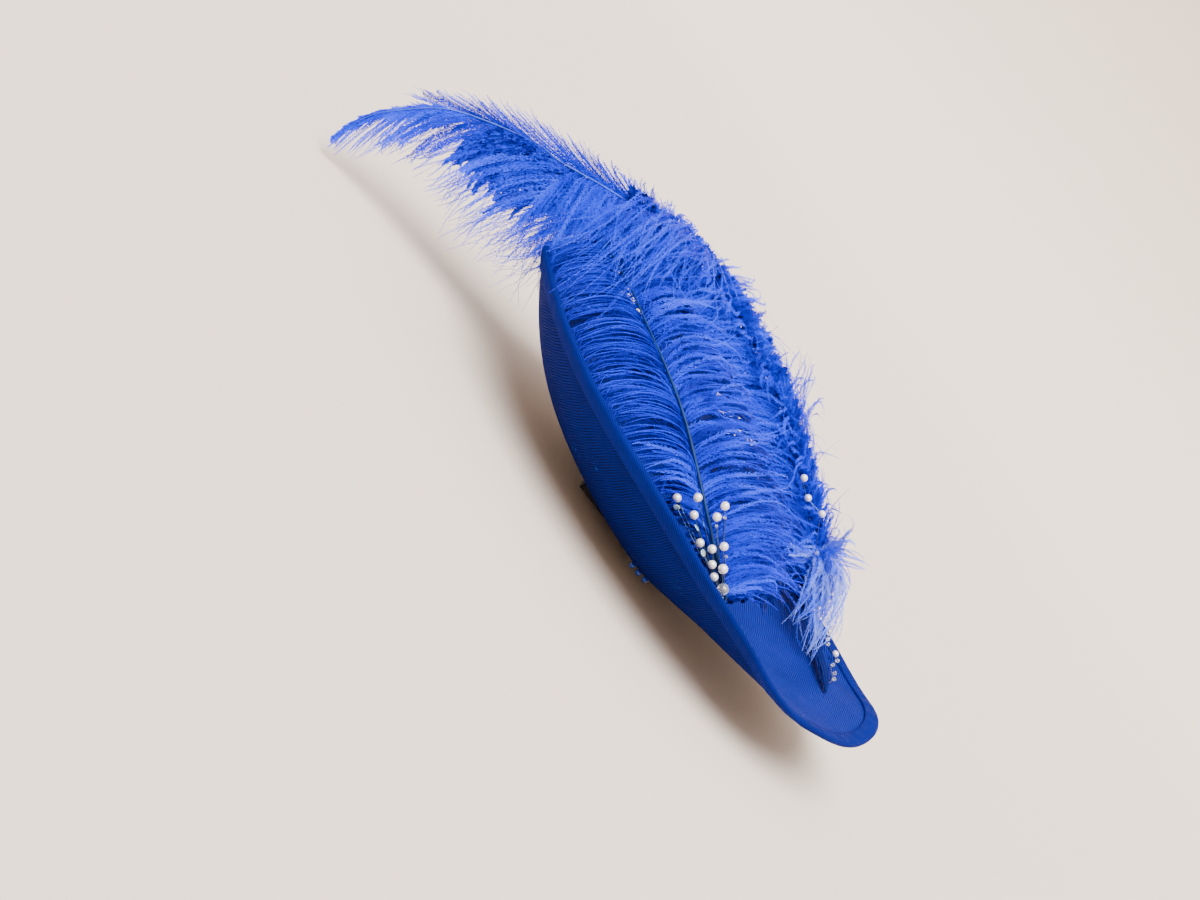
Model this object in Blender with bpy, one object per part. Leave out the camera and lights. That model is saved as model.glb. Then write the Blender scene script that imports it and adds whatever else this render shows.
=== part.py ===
"""A saucer fascinator in royal blue straw cloth, with two plumes, a tuft and beads.

Metres, +Z up. The dish is modelled about its own middle, with x along its length and
y across it, and is then tilted to the way it lies on a table, resting on its comb.
The plumes, the tuft and the beads have their places in tables, which are laid out for a
dish 1 long with the proportions of TABLE_DISH and stretch with the dish.
"""

import math

import bmesh
import bpy
from mathutils import Vector

DISH_LENGTH = 0.355
DISH_WIDTH = 0.256
DISH_DEPTH = 0.0535
DISH_WALL = 0.0016
DISH_STEPS_AROUND = 60
DISH_RINGS = (0.16, 0.34, 0.52, 0.68, 0.81)
REST_TILT = math.radians(3.0)

FIT_GAP = 0.0003
BINDING_WIDTH = 0.009
BINDING_THICK = 0.0008

COMB_LENGTH = 0.080
COMB_REACH = 0.036
COMB_THICK = 0.0045
COMB_SPINE = 0.008
COMB_TEETH = 14
COMB_CENTRE = (-0.012, 0.0)

QUILL_RADIUS = 0.0010
VANE_THICK = 0.0011
LOCKS_FRONT = 17
LOCKS_REAR = 25
LOCK_DROOP = 0.0015
# Rise of a barb between the quill and its tip, as a share of its length.
FRONT_ARCH = 0.10
REAR_ARCH = 0.08

WIRE_RADIUS = 0.0003
TUFT_HEAD_RADIUS = 0.0036
TUFT_LOCK_WIDTH = 0.0075
COVER_HALF_WIDTH = 0.0040
COVER_THICK = 0.0010
BLUE_BEAD_RADIUS = 0.0019
BLUE_BEAD_SPACING = 0.0056
BLUE_BEADS_ALONG = 0.005
BLUE_BEADS_ACROSS = 0.058

# The dish that the tables are laid out for: its width and its depth over its length.
TABLE_DISH = (0.7211, 0.1507)

# Degrees from the wide end, lift of the rim as a share of DISH_DEPTH, fullness of the wall.
RIM_COLUMNS = ("angle", "lift", "fullness")
RIM_ROWS = (
    (0, 0.096, 1.60),
    (11, -0.036, 1.60),
    (27, -0.154, 1.60),
    (40, -0.179, 1.65),
    (54, -0.286, 1.75),
    (70, -0.090, 2.10),
    (80, -0.05, 2.70),
    (90, 0.01, 3.20),
    (105, 0.05, 3.30),
    (125, 0.03, 3.20),
    (140, 0.05, 3.20),
    (160, 0.09, 3.40),
    (180, 0.02, 3.30),
)
RIM_EASE = (-8.0, -4.0, 0.0, 4.0, 8.0)

# Each row is one station of a feather: the quill, then the tips of the barbs on its two sides.
VANE_COLUMNS = ("quill x y z", "left tip x y z", "right tip x y z")
FRONT_VANE = (
    (0.0950, -0.2895, -0.0540, 0.0930, -0.2900, -0.0525, 0.0970, -0.2880, -0.0525),
    (0.0930, -0.2901, -0.0235, 0.0890, -0.2920, -0.0223, 0.0990, -0.2873, -0.0198),
    (0.0772, -0.2900, -0.0095, 0.0705, -0.2873, -0.0120, 0.1288, -0.2254, 0.0078),
    (0.0163, -0.2761, 0.0112, -0.0254, -0.2732, -0.0020, 0.1822, -0.1268, 0.0449),
    (-0.0683, -0.2451, 0.0410, -0.1248, -0.2845, -0.0079, 0.1321, -0.0704, 0.0914),
    (-0.1563, -0.1972, 0.0674, -0.2335, -0.3252, 0.0230, 0.0379, -0.0338, 0.1221),
    (-0.2298, -0.1549, 0.0802, -0.3070, -0.2942, 0.0230, -0.0631, -0.0056, 0.1416),
    (-0.3064, -0.1070, 0.0861, -0.3671, -0.2492, 0.0260, -0.1625, 0.0225, 0.1519),
    (-0.3685, -0.0676, 0.0902, -0.4215, -0.1872, 0.0310, -0.2600, 0.0394, 0.1515),
    (-0.4300, -0.0338, 0.0901, -0.4666, -0.1239, 0.0300, -0.3509, 0.0394, 0.1363),
    (-0.4713, -0.0085, 0.0887, -0.4937, -0.0620, 0.0400, -0.4431, 0.0225, 0.1108),
)
REAR_VANE = (
    (0.3918, 0.0242, -0.0359, 0.3889, 0.0245, -0.0351, 0.3947, 0.0239, -0.0350),
    (0.3741, 0.1446, -0.0341, 0.3704, 0.1424, -0.0337, 0.3778, 0.1478, -0.0319),
    (0.3249, 0.2062, -0.0063, 0.3022, 0.1951, -0.0079, 0.3289, 0.2579, 0.0380),
    (0.2536, 0.2479, 0.0321, 0.1702, 0.1577, -0.0074, 0.2133, 0.2817, 0.1033),
    (0.1359, 0.2676, 0.0863, 0.0626, 0.1634, 0.0290, 0.1137, 0.2986, 0.1413),
    (0.0084, 0.2732, 0.1301, -0.0534, 0.1577, 0.0554, -0.0180, 0.3042, 0.1788),
    (-0.1646, 0.2592, 0.1585, -0.1833, 0.1465, 0.0589, -0.1332, 0.2930, 0.1968),
    (-0.3155, 0.2141, 0.1667, -0.3074, 0.1239, 0.0490, -0.2863, 0.2535, 0.2072),
    (-0.3941, 0.1775, 0.1540, -0.3889, 0.0901, 0.0220, -0.3855, 0.2141, 0.1967),
    (-0.4550, 0.1493, 0.1383, -0.4430, 0.0763, 0.0379, -0.4644, 0.1746, 0.1802),
    (-0.5185, 0.1211, 0.1174, -0.4960, 0.0469, 0.0290, -0.5460, 0.1408, 0.1529),
    (-0.5976, 0.0930, 0.0839, -0.5370, 0.0000, -0.0808, -0.6412, 0.1070, 0.1169),
    (-0.6503, 0.0789, 0.0679, -0.5792, -0.0028, -0.0993, -0.7064, 0.0845, 0.0838),
    (-0.7342, 0.0423, 0.0202, -0.6548, -0.0169, -0.0988, -0.7888, 0.0423, 0.0204),
    (-0.7781, 0.0254, -0.0160, -0.7204, -0.0254, -0.0980, -0.8316, 0.0225, -0.0341),
    (-0.8113, 0.0056, -0.0649, -0.7738, -0.0310, -0.1272, -0.8564, 0.0000, -0.0963),
    (-0.8353, -0.0169, -0.1170, -0.8017, -0.0423, -0.1693, -0.8614, -0.0225, -0.1519),
    (-0.8387, -0.0423, -0.1810, -0.8267, -0.0451, -0.1828, -0.8469, -0.0423, -0.1874),
)

# Place of each bead, then its radius in metres.
BEAD_COLUMNS = ("x", "y", "z", "radius")
SPRAY_PEARLS = (
    (-0.0820, -0.2876, 0.0135, 0.0025),
    (-0.0657, -0.2891, 0.0414, 0.0025),
    (-0.0465, -0.2927, 0.0215, 0.0025),
    (-0.0329, -0.2917, 0.0693, 0.0025),
    (-0.0254, -0.2942, 0.0498, 0.0025),
    (-0.0058, -0.2992, 0.0058, 0.0025),
    (0.0116, -0.3014, 0.0165, 0.0025),
    (0.0181, -0.3010, 0.0342, 0.0025),
    (0.0316, -0.3049, 0.0034, 0.0025),
    (0.0462, -0.3062, 0.0140, 0.0028),
    (0.0492, -0.3077, -0.0045, 0.0025),
)
SPRAY_BALL = (0.0723, -0.3109, -0.0034, 0.0034)
SPRAY_CRYSTALS = (
    (-0.0172, -0.2906, 0.0585, 0.0011),
    (-0.0130, -0.2925, 0.0408, 0.0011),
    (0.0338, -0.2992, 0.0276, 0.0011),
    (0.0103, -0.2980, 0.0007, 0.0013),
    (-0.0697, -0.2865, 0.0043, 0.0013),
    (-0.0273, -0.2912, 0.0131, 0.0013),
)
SPRAY_GATHER = (0.0876, -0.2966, -0.0159)
# Degrees around the dish from its wide end, then the reach from its middle to its rim.
SPRAY_ROOT = (-82.0, 0.85)
STRAND_PEARLS = (
    (0.1025, 0.1690, 0.1125, 0.0024),
    (0.1380, 0.1718, 0.0978, 0.0024),
    (0.1771, 0.1746, 0.1020, 0.0024),
    (0.4046, 0.1459, -0.0160, 0.0022),
)
STRAND_CRYSTALS = (
    (0.2355, 0.1803, 0.0536, 0.0018),
    (0.3282, 0.1698, 0.0110, 0.0016),
    (0.3393, 0.1715, 0.0009, 0.0016),
    (0.3650, 0.1656, 0.0018, 0.0016),
    (0.3728, 0.1685, -0.0100, 0.0016),
    (0.3804, 0.1684, -0.0168, 0.0016),
    (0.3868, 0.1616, -0.0202, 0.0016),
    (0.4102, 0.1242, -0.0151, 0.0016),
    (0.4075, 0.1084, -0.0229, 0.0016),
    (0.4129, 0.0810, -0.0223, 0.0016),
    (0.4117, 0.0521, -0.0226, 0.0016),
)
# Degrees around the dish from its wide end, then the reach from its middle to its rim.
STRAND_FOOT = (7.3, 0.83)
# The straw-cloth leaf that hides the foot of the rear quill.
COVER_SPINE = (
    (0.3407, 0.1491, -0.0193),
    (0.3627, 0.1203, -0.0290),
    (0.3812, 0.0759, -0.0297),
    (0.3905, 0.0190, -0.0266),
    (0.4004, -0.0189, -0.0325),
)
COVER_WIDTHS = (0.12, 0.85, 1.0, 0.8, 0.10)

TUFT_HEAD = (0.2535, 0.2356, 0.0436)
TUFT_TIPS = (
    (0.2313, 0.2197, 0.1113),
    (0.2678, 0.2254, 0.0943),
    (0.3147, 0.2141, 0.1112),
    (0.3257, 0.2085, 0.0529),
    (0.3597, 0.1954, 0.0217),
    (0.3140, 0.1630, -0.0265),
    (0.2954, 0.1481, -0.0330),
    (0.2586, 0.1404, -0.0234),
    (0.1952, 0.1572, 0.0231),
)


def at(row, start=0):
    """The point in metres of a table row, stretched from the tables' dish to this one."""
    x, y, z = row[start : start + 3]
    across = DISH_WIDTH / TABLE_DISH[0]
    deep = DISH_DEPTH / TABLE_DISH[1]
    return Vector((x * DISH_LENGTH, y * across, z * deep))


def between(rows, position, column):
    """A column of a table at any position, straight between the rows around it."""
    for low, high in zip(rows, rows[1:]):
        if position <= high[0]:
            share = (position - low[0]) / (high[0] - low[0])
            return low[column] + (high[column] - low[column]) * share
    return rows[-1][column]


def around_rim(angle, column):
    """A rim column at an angle, eased over its neighbours so that the rim has no corner."""
    total = 0.0
    for offset in RIM_EASE:
        turn = abs((math.degrees(angle) + offset + 180) % 360 - 180)
        total += between(RIM_ROWS, turn, column)
    return total / len(RIM_EASE)


def dish_point(angle, reach):
    """A point of the dish's outer face: angle around it, reach from middle (0) to rim (1)."""
    lift = around_rim(angle, 1)
    fullness = around_rim(angle, 2)
    x = math.cos(angle) * DISH_LENGTH / 2
    y = math.sin(angle) * DISH_WIDTH / 2
    z = DISH_DEPTH * (lift * reach**3 - (1 - reach**fullness))
    return Vector((x * reach, y * reach, z))


def dish_frame(angle, reach):
    """The point, the outward direction and the direction up the wall, on the dish."""
    here = dish_point(angle, reach)
    inner = dish_point(angle, max(reach - 0.02, 0.001))
    ahead = dish_point(angle + 0.03, reach)
    behind = dish_point(angle - 0.03, reach)
    up_wall = (here - inner).normalized()
    outward = up_wall.cross(ahead - behind).normalized()
    if outward.z > 0:
        outward = -outward
    return here, outward, up_wall


def reach_below_rim(angle, drop):
    """The reach of the point that lies this far down the wall from the rim."""
    reach = 1.0
    length = 0.0
    last = dish_point(angle, reach)
    while length < drop:
        reach -= 0.002
        here = dish_point(angle, reach)
        length += (here - last).length
        last = here
    return reach


def material(name, colour, roughness, metallic=0.0, transmission=0.0):
    """A Principled material in one plain colour."""
    made = bpy.data.materials.new(name)
    made.use_nodes = True
    shader = made.node_tree.nodes["Principled BSDF"]
    shader.inputs["Base Color"].default_value = (*colour, 1.0)
    shader.inputs["Roughness"].default_value = roughness
    shader.inputs["Metallic"].default_value = metallic
    shader.inputs["Transmission Weight"].default_value = transmission
    made.diffuse_color = (*colour, 1.0)
    return made


def add_object(name, mesh, collection, parent, surface, smooth_degrees=None):
    """A named object with its own material, outward faces and an even shading."""
    work = bmesh.new()
    work.from_mesh(mesh)
    bmesh.ops.recalc_face_normals(work, faces=work.faces)
    work.to_mesh(mesh)
    work.free()
    made = bpy.data.objects.new(name, mesh)
    mesh.materials.append(surface)
    if smooth_degrees:
        mesh.shade_smooth()
        mesh.set_sharp_from_angle(angle=math.radians(smooth_degrees))
    collection.objects.link(made)
    made.parent = parent
    return made


def loft(name, sections, closed_path=False):
    """A closed mesh through rings of points, with a fan on each end or joined to itself."""
    points = [point for section in sections for point in section]
    count = len(sections[0])
    faces = []
    last = len(sections) if closed_path else len(sections) - 1
    for index in range(last):
        low = index * count
        high = (index + 1) % len(sections) * count
        for step in range(count):
            after = (step + 1) % count
            faces.append((low + step, low + after, high + after, high + step))
    if not closed_path:
        faces.append(tuple(reversed(range(count))))
        faces.append(tuple(range(len(points) - count, len(points))))
    mesh = bpy.data.meshes.new(name)
    mesh.from_pydata(points, [], faces)
    return mesh


def tube_sections(path, radii, sides=5):
    """Rings around a path for a wire or a tapered lock."""
    sections = []
    side = Vector((0.31, 0.87, 0.38)).normalized()
    for index, point in enumerate(path):
        ahead = path[min(index + 1, len(path) - 1)]
        behind = path[max(index - 1, 0)]
        along = (ahead - behind).normalized()
        side = (side - along * side.dot(along)).normalized()
        across = along.cross(side)
        ring = []
        for step in range(sides):
            turn = math.tau * step / sides
            spoke = side * math.cos(turn) + across * math.sin(turn)
            ring.append(point + spoke * radii[index])
        sections.append(ring)
    return sections


def join_solids(target, others):
    """Unites closed meshes into the target with exact booleans and removes the others."""
    for other in others:
        union = target.modifiers.new("union", "BOOLEAN")
        union.operation = "UNION"
        union.solver = "EXACT"
        union.object = other
        graph = bpy.context.evaluated_depsgraph_get()
        merged = bpy.data.meshes.new_from_object(target.evaluated_get(graph))
        target.modifiers.clear()
        target.data = merged
        bpy.data.objects.remove(other)


def smooth_rows(rows, position):
    """A whole table row at a fractional position, on a smooth curve through the rows."""
    index = min(int(position), len(rows) - 2)
    share = position - index
    before = rows[max(index - 1, 0)]
    low = rows[index]
    high = rows[index + 1]
    beyond = rows[min(index + 2, len(rows) - 1)]
    out = []
    for a, b, c, d in zip(before, low, high, beyond):
        bend = 2 * a - 5 * b + 4 * c - d
        twist = -a + 3 * b - 3 * c + d
        out.append(0.5 * (2 * b + (c - a) * share + bend * share**2 + twist * share**3))
    return out


def vane_mesh(name, rows, locks, arch, droop):
    """A plume as one closed sheet, thick at the quill, its two edges cut into locks."""
    per_lock = 3
    count = locks * per_lock
    lock_reach = (0.74, 1.0, 0.9)
    sections = []
    for index in range(count + 1):
        position = (len(rows) - 1) * index / count
        row = smooth_rows(rows, position)
        ahead = at(smooth_rows(rows, min(position + 0.05, len(rows) - 1)))
        behind = at(smooth_rows(rows, max(position - 0.05, 0)))
        along = (ahead - behind).normalized()
        quill = at(row)
        reach = lock_reach[index % per_lock]
        tips = [quill + (at(row, start) - quill) * reach for start in (3, 6)]
        across = (tips[1] - tips[0]).normalized()
        up = across.cross(along).normalized()
        if up.z < 0:
            up = -up
        low_side = (index // per_lock) % 2 * droop
        line = []
        for share in (0.0, 0.5):
            out = tips[0] - quill
            lift = arch * out.length * (1 - abs(2 * share - 1)) - low_side * (1 - share)
            line.append((quill + out * (1 - share) + up * lift, VANE_THICK * (0.8 + share * 0.4)))
        line.append((quill, QUILL_RADIUS * 2))
        for share in (0.5, 1.0):
            out = tips[1] - quill
            lift = arch * out.length * (1 - abs(2 * share - 1)) - low_side * share
            line.append((quill + out * share + up * lift, VANE_THICK * (1.2 - share * 0.4)))
        top = [point + up * thick / 2 for point, thick in line]
        bottom = [point - up * thick / 2 for point, thick in reversed(line)]
        sections.append(top + bottom)
    return loft(name, sections)


def bead_mesh(name, centre, radius, sides=10, rings=6):
    """A round bead."""
    mesh = bpy.data.meshes.new(name)
    work = bmesh.new()
    bmesh.ops.create_uvsphere(work, u_segments=sides, v_segments=rings, radius=radius)
    bmesh.ops.translate(work, verts=work.verts, vec=centre)
    work.to_mesh(mesh)
    work.free()
    return mesh


def crystal_mesh(name, centre, radius):
    """A cut crystal: a small table at each end and eight facets on each side of its girdle."""
    sections = []
    for height, share in ((-0.92, 0.42), (0.0, 1.0), (0.92, 0.42)):
        ring = []
        for step in range(8):
            turn = math.tau * (step + 0.5) / 8
            spoke = Vector((math.cos(turn) * share, math.sin(turn) * share, height))
            ring.append(centre + spoke * radius)
        sections.append(ring)
    return loft(name, sections)


for old in list(bpy.data.objects):
    bpy.data.objects.remove(old)

fascinator = bpy.data.collections.new("fascinator")
bpy.context.scene.collection.children.link(fascinator)

table_place = bpy.data.objects.new("table_place", None)
fascinator.objects.link(table_place)
dish_tilt = bpy.data.objects.new("dish_tilt", None)
fascinator.objects.link(dish_tilt)
dish_tilt.parent = table_place
dish_tilt.rotation_euler = (0.0, REST_TILT, 0.0)

STRAW_BLUE = material("straw_cloth_blue", (0.018, 0.055, 0.33), 0.55)
BINDING_BLUE = material("binding_blue", (0.022, 0.075, 0.46), 0.5)
COVER_BLUE = material("cover_blue", (0.012, 0.04, 0.24), 0.6)
PLUME_BLUE = material("plume_blue", (0.02, 0.08, 0.62), 0.8)
TUFT_BLUE = material("tuft_blue", (0.11, 0.28, 0.85), 0.8)
PEARL_WHITE = material("pearl_white", (0.80, 0.74, 0.68), 0.22)
CLEAR_GLASS = material("clear_glass", (0.85, 0.90, 0.95), 0.04, 0.0, 0.8)
BLUE_GLASS = material("blue_glass", (0.02, 0.09, 0.55), 0.06, 0.0, 0.4)
SILVER_WIRE = material("silver_wire", (0.62, 0.66, 0.74), 0.3, 1.0)
COMB_PLASTIC = material("comb_plastic", (0.03, 0.03, 0.035), 0.4)

angles = [math.tau * step / DISH_STEPS_AROUND for step in range(DISH_STEPS_AROUND)]
rim_reaches = []
for angle in angles:
    low = reach_below_rim(angle, BINDING_WIDTH)
    middle = reach_below_rim(angle, BINDING_WIDTH / 2)
    rim_reaches.append((low, middle, 1.0))

# The dish: one blocked sheet of straw cloth, open at the top, with an even wall.
outer_pole = dish_point(0.0, 0.0)
shell_points = [outer_pole, outer_pole + Vector((0.0, 0.0, DISH_WALL))]
shell_faces = []
rows_up = len(DISH_RINGS) + 3
for column, angle in enumerate(angles):
    low, middle, top = rim_reaches[column]
    reaches = [share * low / 0.92 for share in DISH_RINGS] + [low, middle, top]
    for reach in reaches:
        here, outward, up_wall = dish_frame(angle, reach)
        shell_points.append(here)
        shell_points.append(here - outward * DISH_WALL)


def shell_index(column, row, inside):
    """The number of a point of the dish's shell."""
    return 2 + (column % DISH_STEPS_AROUND * rows_up + row) * 2 + inside


for column in range(DISH_STEPS_AROUND):
    for inside in (0, 1):
        near = shell_index(column, 0, inside)
        far = shell_index(column + 1, 0, inside)
        shell_faces.append((inside, near, far) if inside else (inside, far, near))
        for row in range(rows_up - 1):
            a = shell_index(column, row, inside)
            b = shell_index(column + 1, row, inside)
            c = shell_index(column + 1, row + 1, inside)
            d = shell_index(column, row + 1, inside)
            shell_faces.append((a, d, c, b) if inside else (a, b, c, d))
    top_row = rows_up - 1
    a = shell_index(column, top_row, 0)
    b = shell_index(column + 1, top_row, 0)
    c = shell_index(column + 1, top_row, 1)
    d = shell_index(column, top_row, 1)
    shell_faces.append((a, b, c, d))
shell = bpy.data.meshes.new("sinamay_base")
shell.from_pydata(shell_points, [], shell_faces)
add_object("sinamay_base", shell, fascinator, dish_tilt, STRAW_BLUE, 40)

# The binding: a bias strip of the same cloth, folded over the dish's rim.
gap = FIT_GAP
outer_face = gap + BINDING_THICK
inner_gap = -DISH_WALL - gap
inner_face = inner_gap - BINDING_THICK
binding_sections = []
for angle, (low, middle, top) in zip(angles, rim_reaches):
    low_point, low_out, low_up = dish_frame(angle, low)
    mid_point, mid_out, mid_up = dish_frame(angle, middle)
    top_point, top_out, top_up = dish_frame(angle, top)
    crest = top_up * (gap + BINDING_THICK)
    cavity = top_up * gap
    ring = [
        low_point + low_out * outer_face,
        mid_point + mid_out * outer_face,
        top_point + top_out * outer_face,
        top_point + top_out * gap * 0.5 + crest,
        top_point + top_out * (inner_gap + gap * 0.5) + crest,
        top_point + top_out * inner_face,
        mid_point + mid_out * inner_face,
        low_point + low_out * inner_face,
        low_point + low_out * inner_gap,
        mid_point + mid_out * inner_gap,
        top_point + top_out * inner_gap + cavity,
        top_point + top_out * gap + cavity,
        mid_point + mid_out * gap,
        low_point + low_out * gap,
    ]
    binding_sections.append(ring)
binding = loft("rim_binding", binding_sections, closed_path=True)
add_object("rim_binding", binding, fascinator, dish_tilt, BINDING_BLUE, 40)

# The plumes: a quill with barbs on both sides, in locks.
front = vane_mesh("front_feather", FRONT_VANE, LOCKS_FRONT, FRONT_ARCH, LOCK_DROOP)
add_object("front_feather", front, fascinator, dish_tilt, PLUME_BLUE, 50)
rear = vane_mesh("rear_feather", REAR_VANE, LOCKS_REAR, REAR_ARCH, LOCK_DROOP)
add_object("rear_feather", rear, fascinator, dish_tilt, PLUME_BLUE, 50)

# The tuft: short locks that leave one bound head.
head_centre = at(TUFT_HEAD)
tuft = add_object(
    "side_tuft",
    bead_mesh("side_tuft", head_centre, TUFT_HEAD_RADIUS, 10, 6),
    fascinator,
    dish_tilt,
    TUFT_BLUE,
)
locks = []
for number, row in enumerate(TUFT_TIPS):
    tip = at(row)
    way = tip - head_centre
    bow = Vector((0.0, -0.25, 1.0)).normalized() * way.length * 0.14
    root = head_centre + way.normalized() * TUFT_HEAD_RADIUS * (0.45 + 0.02 * number)
    path = []
    for share in (0.0, 0.3, 0.6, 0.85, 1.0):
        path.append(root.lerp(tip, share) + bow * 4 * share * (1 - share))
    broad = way.cross(bow).normalized()
    sections = []
    for point, share in zip(path, (0.35, 0.8, 1.0, 0.7, 0.12)):
        half = broad * TUFT_LOCK_WIDTH / 2 * share
        thick = bow.normalized() * VANE_THICK * 0.7
        sections.append([point + half, point + thick, point - half, point - thick])
    lock = add_object(
        f"tuft_lock_{number}",
        loft("tuft_lock", sections),
        fascinator,
        dish_tilt,
        TUFT_BLUE,
    )
    locks.append(lock)
join_solids(tuft, locks)

# The leaf of straw cloth over the foot of the rear quill.
cover_sections = []
for index, (row, share) in enumerate(zip(COVER_SPINE, COVER_WIDTHS)):
    point = at(row)
    ahead = at(COVER_SPINE[min(index + 1, len(COVER_SPINE) - 1)])
    behind = at(COVER_SPINE[max(index - 1, 0)])
    along = (ahead - behind).normalized()
    broad = along.cross(Vector((0.0, 0.0, 1.0))).normalized()
    up = broad.cross(along).normalized()
    half = broad * COVER_HALF_WIDTH * share
    fold = up * COVER_THICK * (0.5 + share)
    thick = up * COVER_THICK
    cover_sections.append(
        [
            point + half,
            point + half - thick,
            point + fold - thick,
            point - half - thick,
            point - half,
            point + fold,
        ]
    )
cover = loft("quill_cover", cover_sections)
add_object("quill_cover", cover, fascinator, dish_tilt, COVER_BLUE, 40)

# The spray: beads on fine stems that rise from one gathered foot inside the near rim.
gather = at(SPRAY_GATHER)
root_point, root_out, root_up = dish_frame(math.radians(SPRAY_ROOT[0]), SPRAY_ROOT[1])
root = root_point - root_out * (DISH_WALL + FIT_GAP + WIRE_RADIUS * 3)
foot_path = [root, gather]
foot = loft("spray_wires", tube_sections(foot_path, [WIRE_RADIUS * 2] * 2, 6))
wires = add_object("spray_wires", foot, fascinator, dish_tilt, SILVER_WIRE)
behind_spray = Vector((0.0, 1.0, -0.22)).normalized()
stems = []
knot = bead_mesh("knot", gather, WIRE_RADIUS * 4, 8, 5)
stems.append(add_object("knot", knot, fascinator, dish_tilt, SILVER_WIRE))
for number, row in enumerate(SPRAY_PEARLS + (SPRAY_BALL,) + SPRAY_CRYSTALS):
    centre = at(row)
    away = behind_spray * (row[3] + WIRE_RADIUS + FIT_GAP)
    end = centre + away
    path = [gather, gather.lerp(end, 0.5), end]
    stem = loft("stem", tube_sections(path, [WIRE_RADIUS] * 3))
    stems.append(add_object(f"stem_{number}", stem, fascinator, dish_tilt, SILVER_WIRE))
join_solids(wires, stems)

for number, row in enumerate(SPRAY_PEARLS, 1):
    name = f"pearl_{number:02d}"
    pearl = bead_mesh(name, at(row), row[3])
    add_object(name, pearl, fascinator, dish_tilt, PEARL_WHITE, 60)
ball = bead_mesh("spray_ball", at(SPRAY_BALL), SPRAY_BALL[3], 12, 8)
add_object("spray_ball", ball, fascinator, dish_tilt, CLEAR_GLASS, 60)
for number, row in enumerate(SPRAY_CRYSTALS, 1):
    name = f"spray_crystal_{number}"
    cut = crystal_mesh(name, at(row), row[3])
    add_object(name, cut, fascinator, dish_tilt, CLEAR_GLASS)

# The strand: beads side by side on one wire from above the tuft down to the dish.
behind_strand = Vector((0.1, 0.9, -0.42)).normalized()
strand_rows = STRAND_PEARLS[:3] + STRAND_CRYSTALS[:7] + STRAND_PEARLS[3:] + STRAND_CRYSTALS[7:]
strand_path = []
for index, row in enumerate(strand_rows):
    ahead = at(strand_rows[min(index + 1, len(strand_rows) - 1)])
    behind = at(strand_rows[max(index - 1, 0)])
    along = (ahead - behind).normalized()
    side = (behind_strand - along * behind_strand.dot(along)).normalized()
    strand_path.append(at(row) + side * (row[3] + WIRE_RADIUS + 2 * FIT_GAP))
foot_point, foot_out, foot_up = dish_frame(math.radians(STRAND_FOOT[0]), STRAND_FOOT[1])
strand_path.append(foot_point - foot_out * (DISH_WALL + FIT_GAP + WIRE_RADIUS * 2))
strand_wire = loft(
    "strand_wire", tube_sections(strand_path, [WIRE_RADIUS] * len(strand_path))
)
add_object("strand_wire", strand_wire, fascinator, dish_tilt, SILVER_WIRE)
for number, row in enumerate(STRAND_PEARLS, 1):
    name = f"strand_pearl_{number}"
    pearl = bead_mesh(name, at(row), row[3])
    add_object(name, pearl, fascinator, dish_tilt, PEARL_WHITE, 60)
for number, row in enumerate(STRAND_CRYSTALS, 1):
    name = f"strand_crystal_{number:02d}"
    cut = crystal_mesh(name, at(row), row[3])
    add_object(name, cut, fascinator, dish_tilt, CLEAR_GLASS)

# Three glass beads under the near side of the dish.
for number in (1, 2, 3):
    along = (number - 2) * BLUE_BEAD_SPACING + BLUE_BEADS_ALONG
    reach = 2 * BLUE_BEADS_ACROSS / DISH_WIDTH
    angle = math.atan2(-reach, 2 * along / DISH_LENGTH)
    here, outward, up_wall = dish_frame(angle, reach)
    centre = here + outward * (BLUE_BEAD_RADIUS - FIT_GAP)
    name = f"blue_bead_{number}"
    bead = bead_mesh(name, centre, BLUE_BEAD_RADIUS)
    add_object(name, bead, fascinator, dish_tilt, BLUE_GLASS, 60)

# The comb lies flat on the table under the dish.
spine_edge = -COMB_REACH / 2
tooth_root = spine_edge + COMB_SPINE
pitch = COMB_LENGTH / (COMB_TEETH - 0.35)
outline = [(-COMB_LENGTH / 2, spine_edge), (COMB_LENGTH / 2, spine_edge)]
for number in reversed(range(COMB_TEETH)):
    left = -COMB_LENGTH / 2 + number * pitch
    right = left + pitch * 0.65
    outline.append((right, tooth_root))
    outline.append((right - pitch * 0.1, COMB_REACH / 2))
    outline.append((left + pitch * 0.1, COMB_REACH / 2))
    outline.append((left, tooth_root))
outline[2] = (COMB_LENGTH / 2, tooth_root)
comb_rings = []
for height in (0.0, COMB_THICK):
    ring = [Vector((x + COMB_CENTRE[0], y + COMB_CENTRE[1], height)) for x, y in outline]
    comb_rings.append(ring)
comb = loft("comb", comb_rings)
add_object("comb", comb, fascinator, table_place, COMB_PLASTIC)

# The tilted dish is set down on the comb, and the whole thing is centred over the origin.
tilt = dish_tilt.rotation_euler.to_matrix()
lowest = min((tilt @ point).z for point in shell_points)
dish_tilt.location.z = COMB_THICK + FIT_GAP - lowest
bpy.context.view_layer.update()
corners = []
for thing in fascinator.objects:
    if thing.type == "MESH":
        corners += [thing.matrix_world @ vertex.co for vertex in thing.data.vertices]
for axis in (0, 1):
    low = min(corner[axis] for corner in corners)
    high = max(corner[axis] for corner in corners)
    table_place.location[axis] = -(low + high) / 2
bpy.context.view_layer.update()
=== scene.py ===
import math

import bpy
import numpy as np
from mathutils import Matrix, Vector


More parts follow.
